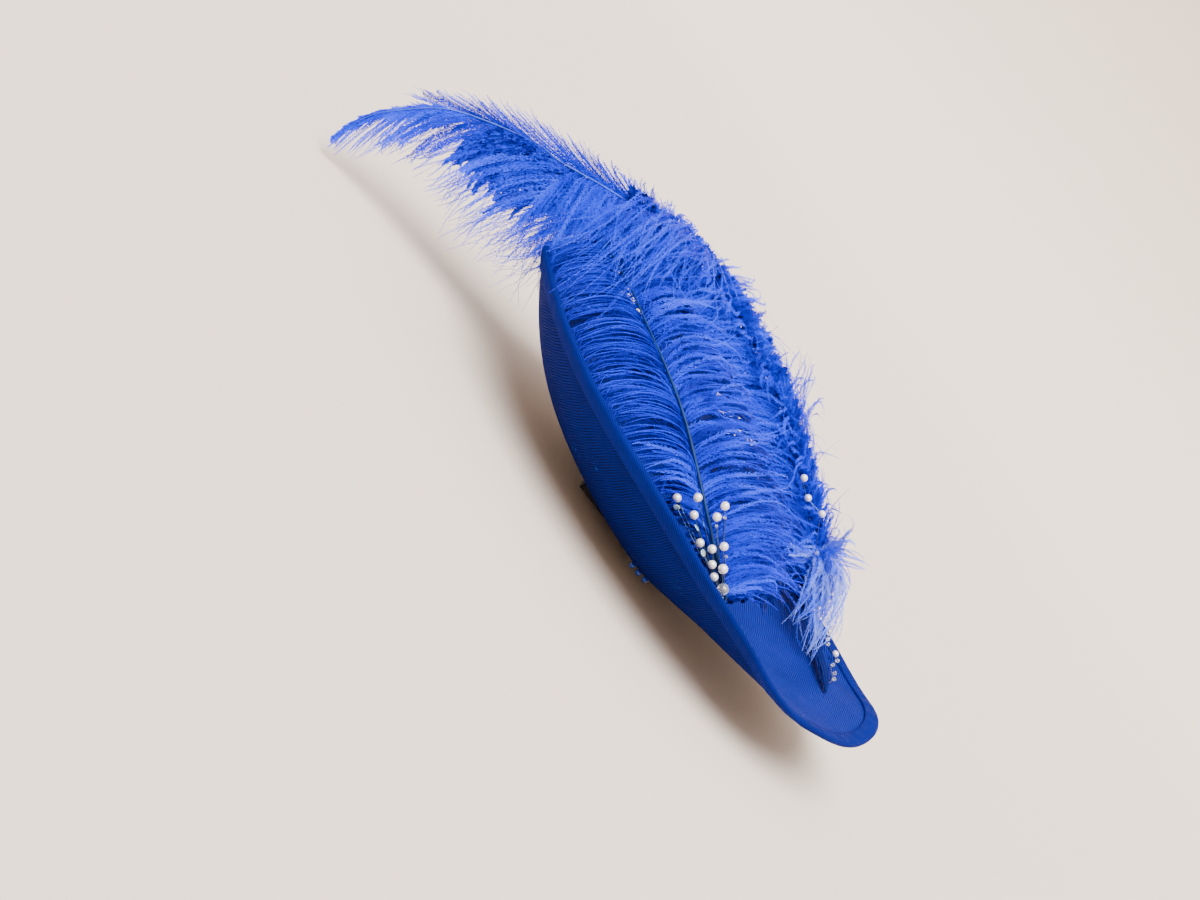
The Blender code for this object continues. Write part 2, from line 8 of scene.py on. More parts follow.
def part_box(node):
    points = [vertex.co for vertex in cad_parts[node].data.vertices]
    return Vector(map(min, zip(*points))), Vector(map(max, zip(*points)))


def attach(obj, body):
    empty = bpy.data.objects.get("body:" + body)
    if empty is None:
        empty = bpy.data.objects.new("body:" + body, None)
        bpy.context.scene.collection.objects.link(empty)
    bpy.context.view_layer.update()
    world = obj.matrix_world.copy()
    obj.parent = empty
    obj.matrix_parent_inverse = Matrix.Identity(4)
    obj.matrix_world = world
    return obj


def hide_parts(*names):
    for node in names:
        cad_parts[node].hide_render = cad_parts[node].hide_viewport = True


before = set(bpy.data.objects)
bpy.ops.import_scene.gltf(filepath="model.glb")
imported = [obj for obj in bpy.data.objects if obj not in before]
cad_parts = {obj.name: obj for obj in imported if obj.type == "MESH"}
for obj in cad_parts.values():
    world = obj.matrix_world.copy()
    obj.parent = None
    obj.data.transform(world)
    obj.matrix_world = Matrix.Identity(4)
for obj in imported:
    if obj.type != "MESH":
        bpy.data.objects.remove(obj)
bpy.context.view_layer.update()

# The dish lies tilted on its comb, wide end down. Every piece below is laid out about the
# middle of the dish and its tilt; shares are of the dish's own length.
DISH_LENGTH = 0.355
REST_TILT = math.radians(3.0)
BALL_SHARES = np.array((0.0723, -0.3109, -0.0034))
tilt = np.array(
    (
        (math.cos(REST_TILT), 0.0, math.sin(REST_TILT)),
        (0.0, 1.0, 0.0),
        (-math.sin(REST_TILT), 0.0, math.cos(REST_TILT)),
    )
)
ball_low, ball_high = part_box("spray_ball")
ball_middle = (np.array(ball_low) + np.array(ball_high)) / 2
dish_middle = ball_middle - tilt @ (BALL_SHARES * DISH_LENGTH)


def lay(points):
    """Points about the dish's middle, in metres, turned and moved to where the hat lies."""
    return np.asarray(points, float) @ tilt.T + dish_middle


# The camera looks across the near rim from a low height, rolled so that the dish's long
# way runs down to the right, as it does in the photograph.
CAMERA_FROM_DISH = (-0.20819, -1.03351, 0.24512)
CAMERA_RIGHT = (0.60684, 0.12908, 0.78427)
CAMERA_UP = (-0.78296, 0.26689, 0.56191)
CAMERA_AHEAD = (0.13679, 0.95504, -0.26302)
LENS_MM = 54.0

camera_data = bpy.data.cameras.new("camera")
camera_data.lens = LENS_MM
camera_data.sensor_width = 36.0
camera_data.clip_start = 0.05
camera_data.clip_end = 30.0
camera = bpy.data.objects.new("camera", camera_data)
bpy.context.scene.collection.objects.link(camera)
turn = Matrix((CAMERA_RIGHT, CAMERA_UP, [-v for v in CAMERA_AHEAD])).transposed()
camera.matrix_world = Matrix.Translation(
    Vector(dish_middle) + Vector(CAMERA_FROM_DISH)
) @ turn.to_4x4()
bpy.context.scene.camera = camera

# The studio: a pale matt floor that sweeps up all round into a low wall, so that no edge
# shows from any side.
FLOOR_RADIUS = 2.4
SWEEP_RADIUS = 0.9
WALL_TOP = 2.6
UNDER_HAT = 0.0002
SPOKES = 48


def linear(hex_colour):
    """An sRGB hex colour as linear RGBA."""
    out = []
    for place in (1, 3, 5):
        value = int(hex_colour[place : place + 2], 16) / 255
        out.append(value / 12.92 if value <= 0.04045 else ((value + 0.055) / 1.055) ** 2.4)
    return (*out, 1.0)


def in_use(sockets, name):
    """The socket of this name, or this number, that the node's settings leave in use."""
    if isinstance(name, int):
        return sockets[name]
    return next(one for one in sockets if one.enabled and one.name == name)


def add_node(tree, kind, settings=None, values=None, links=None):
    """Adds a node: its properties, input values, and inputs linked from a socket or node."""
    made = tree.nodes.new(kind)
    for name, value in (settings or {}).items():
        setattr(made, name, value)
    for name, value in (values or {}).items():
        in_use(made.inputs, name).default_value = value
    for name, source in (links or {}).items():
        if isinstance(source, bpy.types.Node):
            source = next(one for one in source.outputs if one.enabled)
        tree.links.new(source, in_use(made.inputs, name))
    return made


def new_material(name):
    """An empty node material and its tree."""
    made = bpy.data.materials.new(name)
    made.use_nodes = True
    made.node_tree.nodes.clear()
    return made, made.node_tree


def close_material(tree, shader):
    """Links the shader to the material's surface."""
    add_node(tree, "ShaderNodeOutputMaterial", links={"Surface": shader})


paper, tree = new_material("matt_backdrop_paper")
grain = add_node(
    tree, "ShaderNodeTexNoise", values={"Scale": 9.0, "Detail": 3.0, "Roughness": 0.5}
)
tone = add_node(
    tree,
    "ShaderNodeMix",
    {"data_type": "RGBA"},
    {"A": linear("#DECFBF"), "B": linear("#E0D2C3")},
    {"Factor": grain},
)
shader = add_node(
    tree,
    "ShaderNodeBsdfPrincipled",
    values={"Roughness": 0.9, "Specular IOR Level": 0.2},
    links={"Base Color": tone},
)
close_material(tree, shader)

profile = [(0.0, 0.0), (0.6, 0.0), (1.2, 0.0), (FLOOR_RADIUS, 0.0)]
for step in range(1, 9):
    bend = math.radians(90 * step / 8)
    out = FLOOR_RADIUS + SWEEP_RADIUS * math.sin(bend)
    profile.append((out, SWEEP_RADIUS * (1 - math.cos(bend))))
profile.append((FLOOR_RADIUS + SWEEP_RADIUS, WALL_TOP))
sweep_points = []
for out, height in profile:
    for step in range(SPOKES):
        way = math.tau * step / SPOKES
        sweep_points.append((out * math.cos(way), out * math.sin(way), height - UNDER_HAT))
sweep_faces = []
for ring in range(len(profile) - 1):
    for step in range(SPOKES):
        after = (step + 1) % SPOKES
        low = ring * SPOKES
        high = low + SPOKES
        sweep_faces.append((low + step, low + after, high + after, high + step))
floor_data = bpy.data.meshes.new("studio_sweep")
floor_data.from_pydata(sweep_points, [], sweep_faces)
floor_data.shade_smooth()
floor_data.materials.append(paper)
floor = bpy.data.objects.new("studio_sweep", floor_data)
bpy.context.scene.collection.objects.link(floor)

# Soft daylight from a little in front of overhead, as from a large white ceiling, and a
# pale sky that fills the shadows.
KEY_FROM = (-0.15, -0.40, 0.90)
KEY_STRENGTH = 7.5
KEY_SPREAD = math.radians(48.0)
SKY_STRENGTH = 1.55

key = bpy.data.lights.new("ceiling_daylight", "SUN")
key.energy = KEY_STRENGTH
key.angle = KEY_SPREAD
lamp = bpy.data.objects.new("ceiling_daylight", key)
lamp.rotation_euler = (-Vector(KEY_FROM)).to_track_quat("-Z", "Y").to_euler()
bpy.context.scene.collection.objects.link(lamp)
sky = bpy.data.worlds.new("pale_sky")
sky.use_nodes = True
background = sky.node_tree.nodes["Background"]
background.inputs["Color"].default_value = linear("#F4F3F2")
background.inputs["Strength"].default_value = SKY_STRENGTH
bpy.context.scene.world = sky

# The dish is sinamay: two layers of stiffened straw cloth, cut on the bias and blocked
# into a shallow saucer while wet. The ribs run nearly across its length, and those of the
# inner layer are turned a little, which gives a matt face; the fine dark gaps between the
# ribs are painted shade. The outer face is coloured darker than the lining, as painted
# shade on the side turned away from the light.
DISH_WIDTH = 0.256
DISH_DEPTH = 0.0535
DISH_WALL = 0.0016
# Round the rim from the wide end: degrees, rise as a share of the depth, and how full the
# wall stands below that place.
RIM_ROWS = np.array(
    (
        (0, 0.096, 1.60),
        (11, -0.036, 1.60),
        (27, -0.154, 1.60),
        (40, -0.179, 1.65),
        (54, -0.286, 1.75),
        (70, -0.090, 2.10),
        (80, -0.05, 2.70),
        (90, 0.01, 3.20),
        (105, 0.05, 3.30),
        (125, 0.03, 3.20),
        (140, 0.05, 3.20),
        (160, 0.09, 3.40),
        (180, 0.02, 3.30),
    )
)
RIM_EASE = (-8.0, -4.0, 0.0, 4.0, 8.0)
THREAD_PITCH = 0.0017
THREAD_WANDER = 0.0007
CROSS_PITCH = 0.8
SECOND_LAYER_TURN = math.radians(5.0)
SECOND_LAYER_PITCH = 1.04
WEAVE_TURN = math.radians(87.0)
INNER_LAYER_TURN = math.radians(-13.0)
STRAW_RELIEF = 0.0005
STRAW_LINT = "#2A55C8"


def unit(vectors):
    """Vectors of length one along the last axis."""
    size = np.linalg.norm(vectors, axis=-1, keepdims=True)
    return vectors / np.maximum(size, 1e-9)


def mesh_piece(name, points, faces, material, uv=None, smooth=True):
    """A mesh object from points and groups of equal-sided faces, with one UV per point."""
    data = bpy.data.meshes.new(name)
    data.vertices.add(len(points))
    data.vertices.foreach_set("co", np.asarray(points, np.float32).ravel())
    groups = [np.asarray(group, np.int32) for group in faces if len(group)]
    corners = np.concatenate([group.ravel() for group in groups])
    sides = np.concatenate([np.full(len(g), g.shape[1], np.int32) for g in groups])
    starts = np.concatenate(([0], np.cumsum(sides)[:-1])).astype(np.int32)
    data.loops.add(len(corners))
    data.loops.foreach_set("vertex_index", corners)
    data.polygons.add(len(sides))
    data.polygons.foreach_set("loop_start", starts)
    if uv is not None:
        layer = data.uv_layers.new(name="cloth")
        layer.data.foreach_set("uv", np.asarray(uv, np.float32)[corners].ravel())
    data.polygons.foreach_set("use_smooth", np.full(len(sides), smooth))
    data.update(calc_edges=True)
    data.validate()
    made = bpy.data.objects.new(name, data)
    data.materials.append(material)
    bpy.context.scene.collection.objects.link(made)
    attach(made, "root")
    return made


def around_rim(angle, column):
    """A rim column at angles, eased over its neighbours."""
    total = 0.0
    for offset in RIM_EASE:
        turned = np.abs((np.degrees(angle) + offset + 180) % 360 - 180)
        total = total + np.interp(turned, RIM_ROWS[:, 0], RIM_ROWS[:, column])
    return total / len(RIM_EASE)


def dish_point(angle, reach):
    """Points of the dish's outer face, for arrays of angles and reaches (0 middle, 1 rim)."""
    lift = around_rim(angle, 1)
    fullness = around_rim(angle, 2)
    x = np.cos(angle) * DISH_LENGTH / 2
    y = np.sin(angle) * DISH_WIDTH / 2
    z = DISH_DEPTH * (lift * reach**3 - (1 - reach**fullness))
    return np.stack((x * reach, y * reach, z), axis=-1)


def dish_frame(angle, reach):
    """Points of the dish, their outward directions and the directions up the wall."""
    here = dish_point(angle, reach)
    inner = dish_point(angle, np.maximum(reach - 0.02, 0.001))
    around = dish_point(angle + 0.03, reach) - dish_point(angle - 0.03, reach)
    up_wall = unit(here - inner)
    outward = unit(np.cross(up_wall, around))
    outward = np.where(outward[..., 2:] > 0, -outward, outward)
    return here, outward, up_wall


def woven(tree, turn, pitch):
    """Two crossed sets of threads, each a height of 0 to 1, and the cloth's UVs."""
    cloth = add_node(tree, "ShaderNodeUVMap", {"uv_map": "cloth"})
    wander = add_node(
        tree,
        "ShaderNodeTexNoise",
        values={"Scale": 60.0, "Detail": 2.0},
        links={"Vector": cloth},
    )
    shift = add_node(
        tree,
        "ShaderNodeVectorMath",
        {"operation": "MULTIPLY_ADD"},
        {1: (THREAD_WANDER, THREAD_WANDER, 0.0)},
        {0: wander.outputs["Color"], 2: cloth},
    )
    threads = []
    for side in (0, 1):
        lines = add_node(
            tree,
            "ShaderNodeMapping",
            values={"Rotation": (0.0, 0.0, turn + side * math.pi / 2)},
            links={"Vector": shift},
        )
        split = add_node(tree, "ShaderNodeSeparateXYZ", links={"Vector": lines})
        wave = add_node(
            tree,
            "ShaderNodeMath",
            {"operation": "MULTIPLY"},
            {1: math.tau / (pitch * (1.0, CROSS_PITCH)[side])},
            {0: split.outputs["Y"]},
        )
        sine = add_node(tree, "ShaderNodeMath", {"operation": "SINE"}, links={0: wave})
        height = add_node(
            tree,
            "ShaderNodeMath",
            {"operation": "MULTIPLY_ADD"},
            {1: 0.5, 2: 0.5},
            {0: sine},
        )
        threads.append(height)
    return threads, cloth


def sinamay_material(name, deep, bright, turn, pitch, bump, fleck):
    """Stiffened straw cloth: ribs over gaps darkened as painted shade, uneven, with a few paler
    frayed flecks.
    """
    made, tree = new_material(name)
    (ribs, cross), cloth = woven(tree, turn, pitch)
    layer_turn = turn + SECOND_LAYER_TURN
    (second, _), _ = woven(tree, layer_turn, pitch * SECOND_LAYER_PITCH)
    low_cross = add_node(
        tree, "ShaderNodeMath", {"operation": "MULTIPLY"}, {1: 0.45}, {0: cross}
    )
    height = add_node(
        tree, "ShaderNodeMath", {"operation": "MAXIMUM"}, links={0: ribs, 1: low_cross}
    )
    under = add_node(
        tree,
        "ShaderNodeMath",
        {"operation": "MULTIPLY_ADD"},
        {1: 0.35, 2: 0.0},
        {0: second},
    )
    both = add_node(
        tree,
        "ShaderNodeMath",
        {"operation": "MULTIPLY_ADD"},
        {1: 0.75},
        {0: height, 2: under},
    )
    patches = add_node(
        tree,
        "ShaderNodeTexNoise",
        values={"Scale": 28.0, "Detail": 4.0, "Roughness": 0.6},
        links={"Vector": cloth},
    )
    uneven = add_node(
        tree,
        "ShaderNodeMath",
        {"operation": "MULTIPLY_ADD"},
        {1: 0.5, 2: -0.22},
        {0: patches},
    )
    share = add_node(
        tree,
        "ShaderNodeMath",
        {"operation": "ADD", "use_clamp": True},
        links={0: both, 1: uneven},
    )
    # The low parts of the weave take the deep colour: painted shade in the gaps between the ribs.
    colour = add_node(
        tree,
        "ShaderNodeMix",
        {"data_type": "RGBA"},
        {"A": linear(deep), "B": linear(bright)},
        {"Factor": share},
    )
    spots = add_node(
        tree,
        "ShaderNodeTexNoise",
        values={"Scale": 420.0, "Detail": 2.0},
        links={"Vector": cloth},
    )
    zones = add_node(
        tree, "ShaderNodeTexNoise", values={"Scale": 34.0}, links={"Vector": cloth}
    )
    frayed = add_node(
        tree, "ShaderNodeMath", {"operation": "MULTIPLY"}, links={0: spots, 1: zones}
    )
    lint = add_node(tree, "ShaderNodeMapRange", values={1: 0.42, 2: 0.50}, links={0: frayed})
    flecked = add_node(
        tree,
        "ShaderNodeMix",
        {"data_type": "RGBA"},
        {"B": linear(fleck)},
        {"A": colour, "Factor": lint},
    )
    relief = add_node(
        tree,
        "ShaderNodeBump",
        values={"Strength": 0.8, "Distance": bump},
        links={"Height": height},
    )
    shine = add_node(
        tree,
        "ShaderNodeMath",
        {"operation": "MULTIPLY_ADD"},
        {1: -0.2, 2: 0.85},
        {0: share},
    )
    shader = add_node(
        tree,
        "ShaderNodeBsdfPrincipled",
        values={"Specular IOR Level": 0.04},
        links={"Base Color": flecked, "Roughness": shine, "Normal": relief},
    )
    close_material(tree, shader)
    return made


straw_make = (WEAVE_TURN, THREAD_PITCH, STRAW_RELIEF, STRAW_LINT)
# The outer face's colours are darker than the lining's: painted shade for the side turned from
# the light.
shade_darkened_outer_straw = sinamay_material("dyed_sinamay_straw_painted_shade", "#00031C", "#001370", *straw_make)
inner_straw = sinamay_material(
    "sinamay_straw_lining", "#000420", "#182692", *straw_make
)


def run_along(points, axis):
    """The length of the way through the points up to each of them, along this axis."""
    lengths = np.linalg.norm(np.diff(points, axis=axis), axis=-1)
    first = np.zeros_like(np.take(lengths, [0], axis=axis))
    return np.concatenate((first, np.cumsum(lengths, axis=axis)), axis=axis)


AROUND = 240
RINGS = 44
angles = np.linspace(0.0, math.tau, AROUND + 1)
reaches = np.linspace(0.0, 1.0, RINGS + 1) ** 0.85
angle_grid, reach_grid = np.meshgrid(angles, reaches, indexing="ij")
outer, outward, up_wall = dish_frame(angle_grid, np.maximum(reach_grid, 0.002))
run = run_along(outer, 1)
bearing = np.arctan2(outer[:, -1:, 1], outer[:, -1:, 0])
cloth_uv = np.stack((run * np.cos(bearing), run * np.sin(bearing)), axis=-1)
inner = outer - outward * DISH_WALL
flat = np.concatenate((outer.reshape(-1, 3), inner.reshape(-1, 3)))
wide = RINGS + 1
column, row = np.meshgrid(np.arange(AROUND), np.arange(RINGS), indexing="ij")
first = (column * wide + row).ravel()
quads = np.stack((first, first + 1, first + wide + 1, first + wide), axis=1)
back = quads[:, ::-1] + (AROUND + 1) * wide
edge = np.arange(AROUND) * wide + RINGS
offset = (AROUND + 1) * wide
rim_faces = np.stack((edge, edge + offset, edge + wide + offset, edge + wide), axis=1)
flat_uv = cloth_uv.reshape(-1, 2)
bias = np.array(
    (
        (math.cos(INNER_LAYER_TURN), math.sin(INNER_LAYER_TURN)),
        (-math.sin(INNER_LAYER_TURN), math.cos(INNER_LAYER_TURN)),
    )
)
dish_uv = np.concatenate((flat_uv, flat_uv @ bias))
dish = mesh_piece(
    "sinamay_dish", lay(flat), [quads, back, rim_faces], shade_darkened_outer_straw, uv=dish_uv
)
dish.data.materials.append(inner_straw)
lined = np.zeros(len(dish.data.polygons), np.int32)
lined[len(quads) : len(quads) + len(back)] = 1
dish.data.polygons.foreach_set("material_index", lined)
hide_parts("sinamay_base")

# The binding is a strip of the same cloth cut at 45 degrees, folded over the rim and
# sewn down, so its weave is closer and it stands a little proud of the dish.
BINDING_WIDTH = 0.009
BINDING_THICK = 0.0008
BINDING_PITCH = 0.0011
BINDING_RELIEF = 0.0003
BINDING_SWELL = 0.0004
PUCKER = 0.00016
PUCKER_COUNT = 61
TUCK_GAP = 0.0002
FIT_GAP = 0.0003
BINDING_STEPS = 420

binding_cloth = sinamay_material(
    "bias_cut_sinamay_binding",
    "#00062C",
    "#081A80",
    math.radians(45.0),
    BINDING_PITCH,
    BINDING_RELIEF,
    "#081A80",
)
angles = np.linspace(0.0, math.tau, BINDING_STEPS + 1)
drops = np.array((1.0, 0.82, 0.64, 0.46, 0.28, 0.12, 0.0)) * BINDING_WIDTH
fine = np.linspace(1.0, 0.86, 57)
wall = dish_point(angles[:, None], fine[None, :])
reach_at = np.array(
    [[np.interp(drop, row, fine) for drop in drops] for row in run_along(wall, 1)]
)
here, out_way, up_way = dish_frame(angles[:, None], reach_at)
crowned = np.sin(np.linspace(0.0, math.pi, len(drops)))[None, :]
pucker = PUCKER * np.sin(angles * PUCKER_COUNT)[:, None] * crowned
swell = BINDING_SWELL * crowned
thick = FIT_GAP + BINDING_THICK
outside = here + out_way * (thick + swell + pucker)[..., None]
inside = here - out_way * (DISH_WALL + thick + swell + pucker)[..., None]
top_here, top_out, top_up = here[:, -1], out_way[:, -1], up_way[:, -1]
crown = []
for share in (0.2, 0.5, 0.8):
    side = thick - (2 * thick + DISH_WALL) * share
    rise = math.sin(math.pi * share) * (DISH_WALL / 2 + thick) * 0.75 + TUCK_GAP
    crown.append(top_here + top_out * side + top_up * rise)
tuck_out = here[:, :1] + out_way[:, :1] * TUCK_GAP
tuck_in = here[:, :1] - out_way[:, :1] * (DISH_WALL + TUCK_GAP)
ring = np.concatenate(
    (tuck_out, outside, np.stack(crown, axis=1), inside[:, ::-1], tuck_in), axis=1
)
count = ring.shape[1]
rim_run = np.repeat(run_along(top_here, 0)[:, None], count, axis=1)
binding_uv = np.stack((rim_run, run_along(ring, 1)), axis=-1)
column, row = np.meshgrid(
    np.arange(BINDING_STEPS), np.arange(count - 1), indexing="ij"
)
first = (column * count + row).ravel()
quads = np.stack((first, first + count, first + count + 1, first + 1), axis=1)
binding = mesh_piece(
    "bound_rim",
    lay(ring.reshape(-1, 3)),
    [quads],
    binding_cloth,
    uv=binding_uv.reshape(-1, 2),
)
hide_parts("rim_binding")

# The plumes are dyed ostrich: a stripped quill with long soft barbs on both sides, and
# on each barb two rows of loose barbules that do not hook together, so it looks fluffy.
# Each row holds a point of the quill and the tips of its left and right barbs.
FRONT_ROWS = np.array(
    (
        (0.0950, -0.2895, -0.0540, 0.0930, -0.2900, -0.0525, 0.0970, -0.2880, -0.0525),
        (0.0930, -0.2901, -0.0235, 0.0890, -0.2920, -0.0223, 0.0990, -0.2873, -0.0198),
        (0.0772, -0.2900, -0.0095, 0.0705, -0.2873, -0.0120, 0.1288, -0.2254, 0.0078),
        (0.0163, -0.2761, 0.0112, -0.0254, -0.2732, -0.0020, 0.1822, -0.1268, 0.0449),
        (-0.0683, -0.2451, 0.0410, -0.1248, -0.2845, -0.0079, 0.1321, -0.0704, 0.0914),
        (-0.1563, -0.1972, 0.0674, -0.2335, -0.3252, 0.0130, 0.0379, -0.0338, 0.1221),
        (-0.2298, -0.1549, 0.0802, -0.3070, -0.2942, 0.0130, -0.0631, -0.0056, 0.1416),
        (-0.3064, -0.1070, 0.0861, -0.3671, -0.2492, 0.0160, -0.1625, 0.0225, 0.1519),
        (-0.3685, -0.0676, 0.0902, -0.4215, -0.1872, 0.0210, -0.2600, 0.0394, 0.1515),
        (-0.4300, -0.0338, 0.0901, -0.4666, -0.1239, 0.0250, -0.3509, 0.0394, 0.1363),
        (-0.4713, -0.0085, 0.0887, -0.4937, -0.0620, 0.0350, -0.4431, 0.0225, 0.1108),
    )
)
REAR_ROWS = np.array(
    (
        (0.3918, 0.0242, -0.0359, 0.3889, 0.0245, -0.0351, 0.3947, 0.0239, -0.0350),
        (0.3741, 0.1446, -0.0341, 0.3704, 0.1424, -0.0337, 0.3778, 0.1478, -0.0319),
        (0.3249, 0.2062, -0.0063, 0.3022, 0.1951, -0.0079, 0.3289, 0.2579, 0.0380),
        (0.2536, 0.2479, 0.0321, 0.1702, 0.1577, -0.0074, 0.2133, 0.2817, 0.1033),
        (0.1359, 0.2676, 0.0863, 0.0626, 0.1634, 0.0290, 0.1137, 0.2986, 0.1413),
        (0.0084, 0.2732, 0.1301, -0.0534, 0.1577, 0.0554, -0.0180, 0.3042, 0.1788),
        (-0.1646, 0.2592, 0.1585, -0.1833, 0.1465, 0.0589, -0.1332, 0.2930, 0.1968),
        (-0.3155, 0.2141, 0.1667, -0.3074, 0.1239, 0.0490, -0.2863, 0.2535, 0.2072),
        (-0.3941, 0.1775, 0.1540, -0.3889, 0.0901, 0.0220, -0.3855, 0.2141, 0.1967),
        (-0.4550, 0.1493, 0.1383, -0.4430, 0.0763, 0.0379, -0.4644, 0.1746, 0.1802),
        (-0.5185, 0.1211, 0.1174, -0.4960, 0.0469, 0.0290, -0.5460, 0.1408, 0.1529),
        (-0.5976, 0.0930, 0.0839, -0.5370, 0.0000, -0.0808, -0.6412, 0.1070, 0.1169),
        (-0.6503, 0.0789, 0.0679, -0.5792, -0.0028, -0.0993, -0.7064, 0.0845, 0.0838),
        (-0.7342, 0.0423, 0.0202, -0.6548, -0.0169, -0.0988, -0.7888, 0.0423, 0.0204),
        (-0.7781, 0.0254, -0.0160, -0.7204, -0.0254, -0.0980, -0.8316, 0.0225, -0.0341),
        (-0.8113, 0.0056, -0.0649, -0.7738, -0.0310, -0.1272, -0.8564, 0.0000, -0.0963),
        (-0.8353, -0.0169, -0.1170, -0.8017, -0.0423, -0.1693, -0.8614, -0.0225, -0.1519),
        (-0.8387, -0.0423, -0.1810, -0.8360, -0.0487, -0.2017, -0.8469, -0.0423, -0.1874),
    )
)


def down_material(name, deep, middle, bright, sheen):
    """Dyed down: soft, faintly glossy strands whose dye takes unevenly from barb to barb."""
    made, tree = new_material(name)
    strand = add_node(tree, "ShaderNodeUVMap", {"uv_map": "cloth"})
    parts = add_node(tree, "ShaderNodeSeparateXYZ", links={"Vector": strand})
    place = add_node(tree, "ShaderNodeTexCoord")
    broad = add_node(
        tree,
        "ShaderNodeTexNoise",
        values={"Scale": 48.0, "Detail": 3.0},
        links={"Vector": place.outputs["Object"]},
    )
    own = add_node(
        tree,
        "ShaderNodeMath",
        {"operation": "MULTIPLY_ADD"},
        {1: 0.55},
        {0: parts.outputs["X"], 2: broad},
    )
    along = add_node(
        tree,
        "ShaderNodeMath",
        {"operation": "MULTIPLY_ADD"},
        {1: 0.25},
        {0: parts.outputs["Y"], 2: own},
    )
    depth = add_node(tree, "ShaderNodeMapRange", values={1: 0.35, 2: 1.15}, links={0: along})
    ramp = add_node(tree, "ShaderNodeValToRGB", links={"Fac": depth})
    ramp.color_ramp.elements[0].color = linear(deep)
    ramp.color_ramp.elements[1].color = linear(bright)
    centre = ramp.color_ramp.elements.new(0.55)
    centre.color = linear(middle)
    shader = add_node(
        tree,
        "ShaderNodeBsdfPrincipled",
        values={
            "Roughness": 0.5,
            "Specular IOR Level": 0.06,
            "Sheen Weight": 0.08,
            "Sheen Roughness": 0.4,
            "Sheen Tint": linear(sheen),
        },
        links={"Base Color": ramp},
    )
    close_material(tree, shader)
    return made


BARB_RADIUS = 0.00026
BARB_STEPS = 9
FLOOR_CLEARANCE = 0.004
FLOOR_GIVE = 0.15
CREST_HEIGHT = 0.134
CREST_GIVE = 0.3
RIM_STOP = 0.97
BARB_OVER_RIM = 0.003
BARB_OVER_CLOTH = 0.0012


def table_rows(rows, positions):
    """Rows at fractional positions, on a smooth curve through the table."""
    positions = np.clip(positions, 0.0, len(rows) - 1.0001)
    index = positions.astype(int)
    share = (positions - index)[:, None]
    a = rows[np.maximum(index - 1, 0)]
    b = rows[index]
    c = rows[np.minimum(index + 1, len(rows) - 1)]
    d = rows[np.minimum(index + 2, len(rows) - 1)]
    bend = 2 * a - 5 * b + 4 * c - d
    twist = -a + 3 * b - 3 * c + d
    return 0.5 * (2 * b + (c - a) * share + bend * share**2 + twist * share**3)


def down_strands(paths, fuzz, breadth, per_side, random):
    """Barbs along paths: a three-sided shaft and two rows of barbules, fuzz long."""
    barbs, steps, _ = paths.shape
    ahead = unit(np.gradient(paths, axis=1))
    hint = unit(random.normal(size=(barbs, 1, 3)) * 0.3 + np.array((0.0, -0.4, 1.0)))
    side = unit(np.cross(ahead, np.broadcast_to(hint, ahead.shape)))
    over = np.cross(side, ahead)
    along = np.linspace(0.0, 1.0, steps)
    tone = random.uniform(0.0, 1.0, barbs)
    taper = (BARB_RADIUS * (1.0 - 0.75 * along))[None, :, None]
    rings = []
    for step in range(3):
        turned = math.tau * step / 3
        rings.append(paths + (side * math.cos(turned) + over * math.sin(turned)) * taper)
    points = [np.stack(rings, axis=2).reshape(-1, 3)]
    tones = [np.repeat(tone, steps * 3)]
    places = [np.tile(np.repeat(along, 3), barbs)]
    base = np.arange(barbs)[:, None, None] * steps * 3
    ring = np.arange(steps - 1)[None, :, None] * 3
    corner = np.arange(3)[None, None, :]
    low = base + ring + corner
    after = base + ring + (corner + 1) % 3
    quads = np.stack((low, after, after + 3, low + 3), axis=-1).reshape(-1, 4)
    triangles = []
    total = barbs * steps * 3
    pick = np.arange(barbs)[:, None]
    for sign in (-1.0, 1.0):
        spread = np.arange(per_side)[None, :] + random.uniform(0, 1, (barbs, per_side))
        where = 0.02 + 0.98 * spread / per_side
        position = where * (steps - 1)
        index = np.minimum(position.astype(int), steps - 2)
        part = (position - index)[..., None]
        near = [field[pick, index] for field in (paths, ahead, side, over)]
        far = [field[pick, index + 1] for field in (paths, ahead, side, over)]
        spot, forward, sideways, upward = (a * (1 - part) + b * part for a, b in zip(near, far))
        slant = random.uniform(0.55, 1.05, (barbs, per_side, 1))
        slant = slant * (1.0 - 0.5 * where[..., None])
        roll = random.normal(0.0, 0.6, (barbs, per_side, 1))
        away = sideways * sign * np.cos(roll) + upward * np.sin(roll)
        way = unit(forward * np.cos(slant) + away * np.sin(slant))
        swell = np.minimum(1.0, where / 0.10) ** 0.5 * (1.0 - 0.72 * where**3)
        size = (fuzz * swell * random.uniform(0.6, 1.15, (barbs, per_side)))[..., None]
        middle = spot + way * size * 0.5
        later = unit(way + forward * 0.6 + random.normal(0.0, 0.2, way.shape))
        tip = middle + later * size * 0.55
        flat_way = unit(np.cross(way, upward)) * breadth / 2 * swell[..., None]
        kite = np.stack((spot, middle - flat_way, middle + flat_way, tip), axis=2)
        points.append(kite.reshape(-1, 3))
        tones.append(np.repeat(tone, per_side * 4))
        places.append(np.repeat(where.ravel(), 4))
        number = np.arange(barbs * per_side) * 4 + total
        triangles.append(np.stack((number, number + 1, number + 2), axis=1))
        triangles.append(np.stack((number + 2, number + 1, number + 3), axis=1))
        total += barbs * per_side * 4
    uv = np.stack((np.concatenate(tones), np.concatenate(places)), axis=1)
    return np.concatenate(points), [quads, np.concatenate(triangles)], uv


def quill_run(rows):
    """Fine positions along a plume's table and the quill's length up to each of them."""
    fine = np.linspace(0.0, len(rows) - 1.0, 400)
    return fine, run_along(table_rows(rows, fine)[:, :3] * DISH_LENGTH, 0)


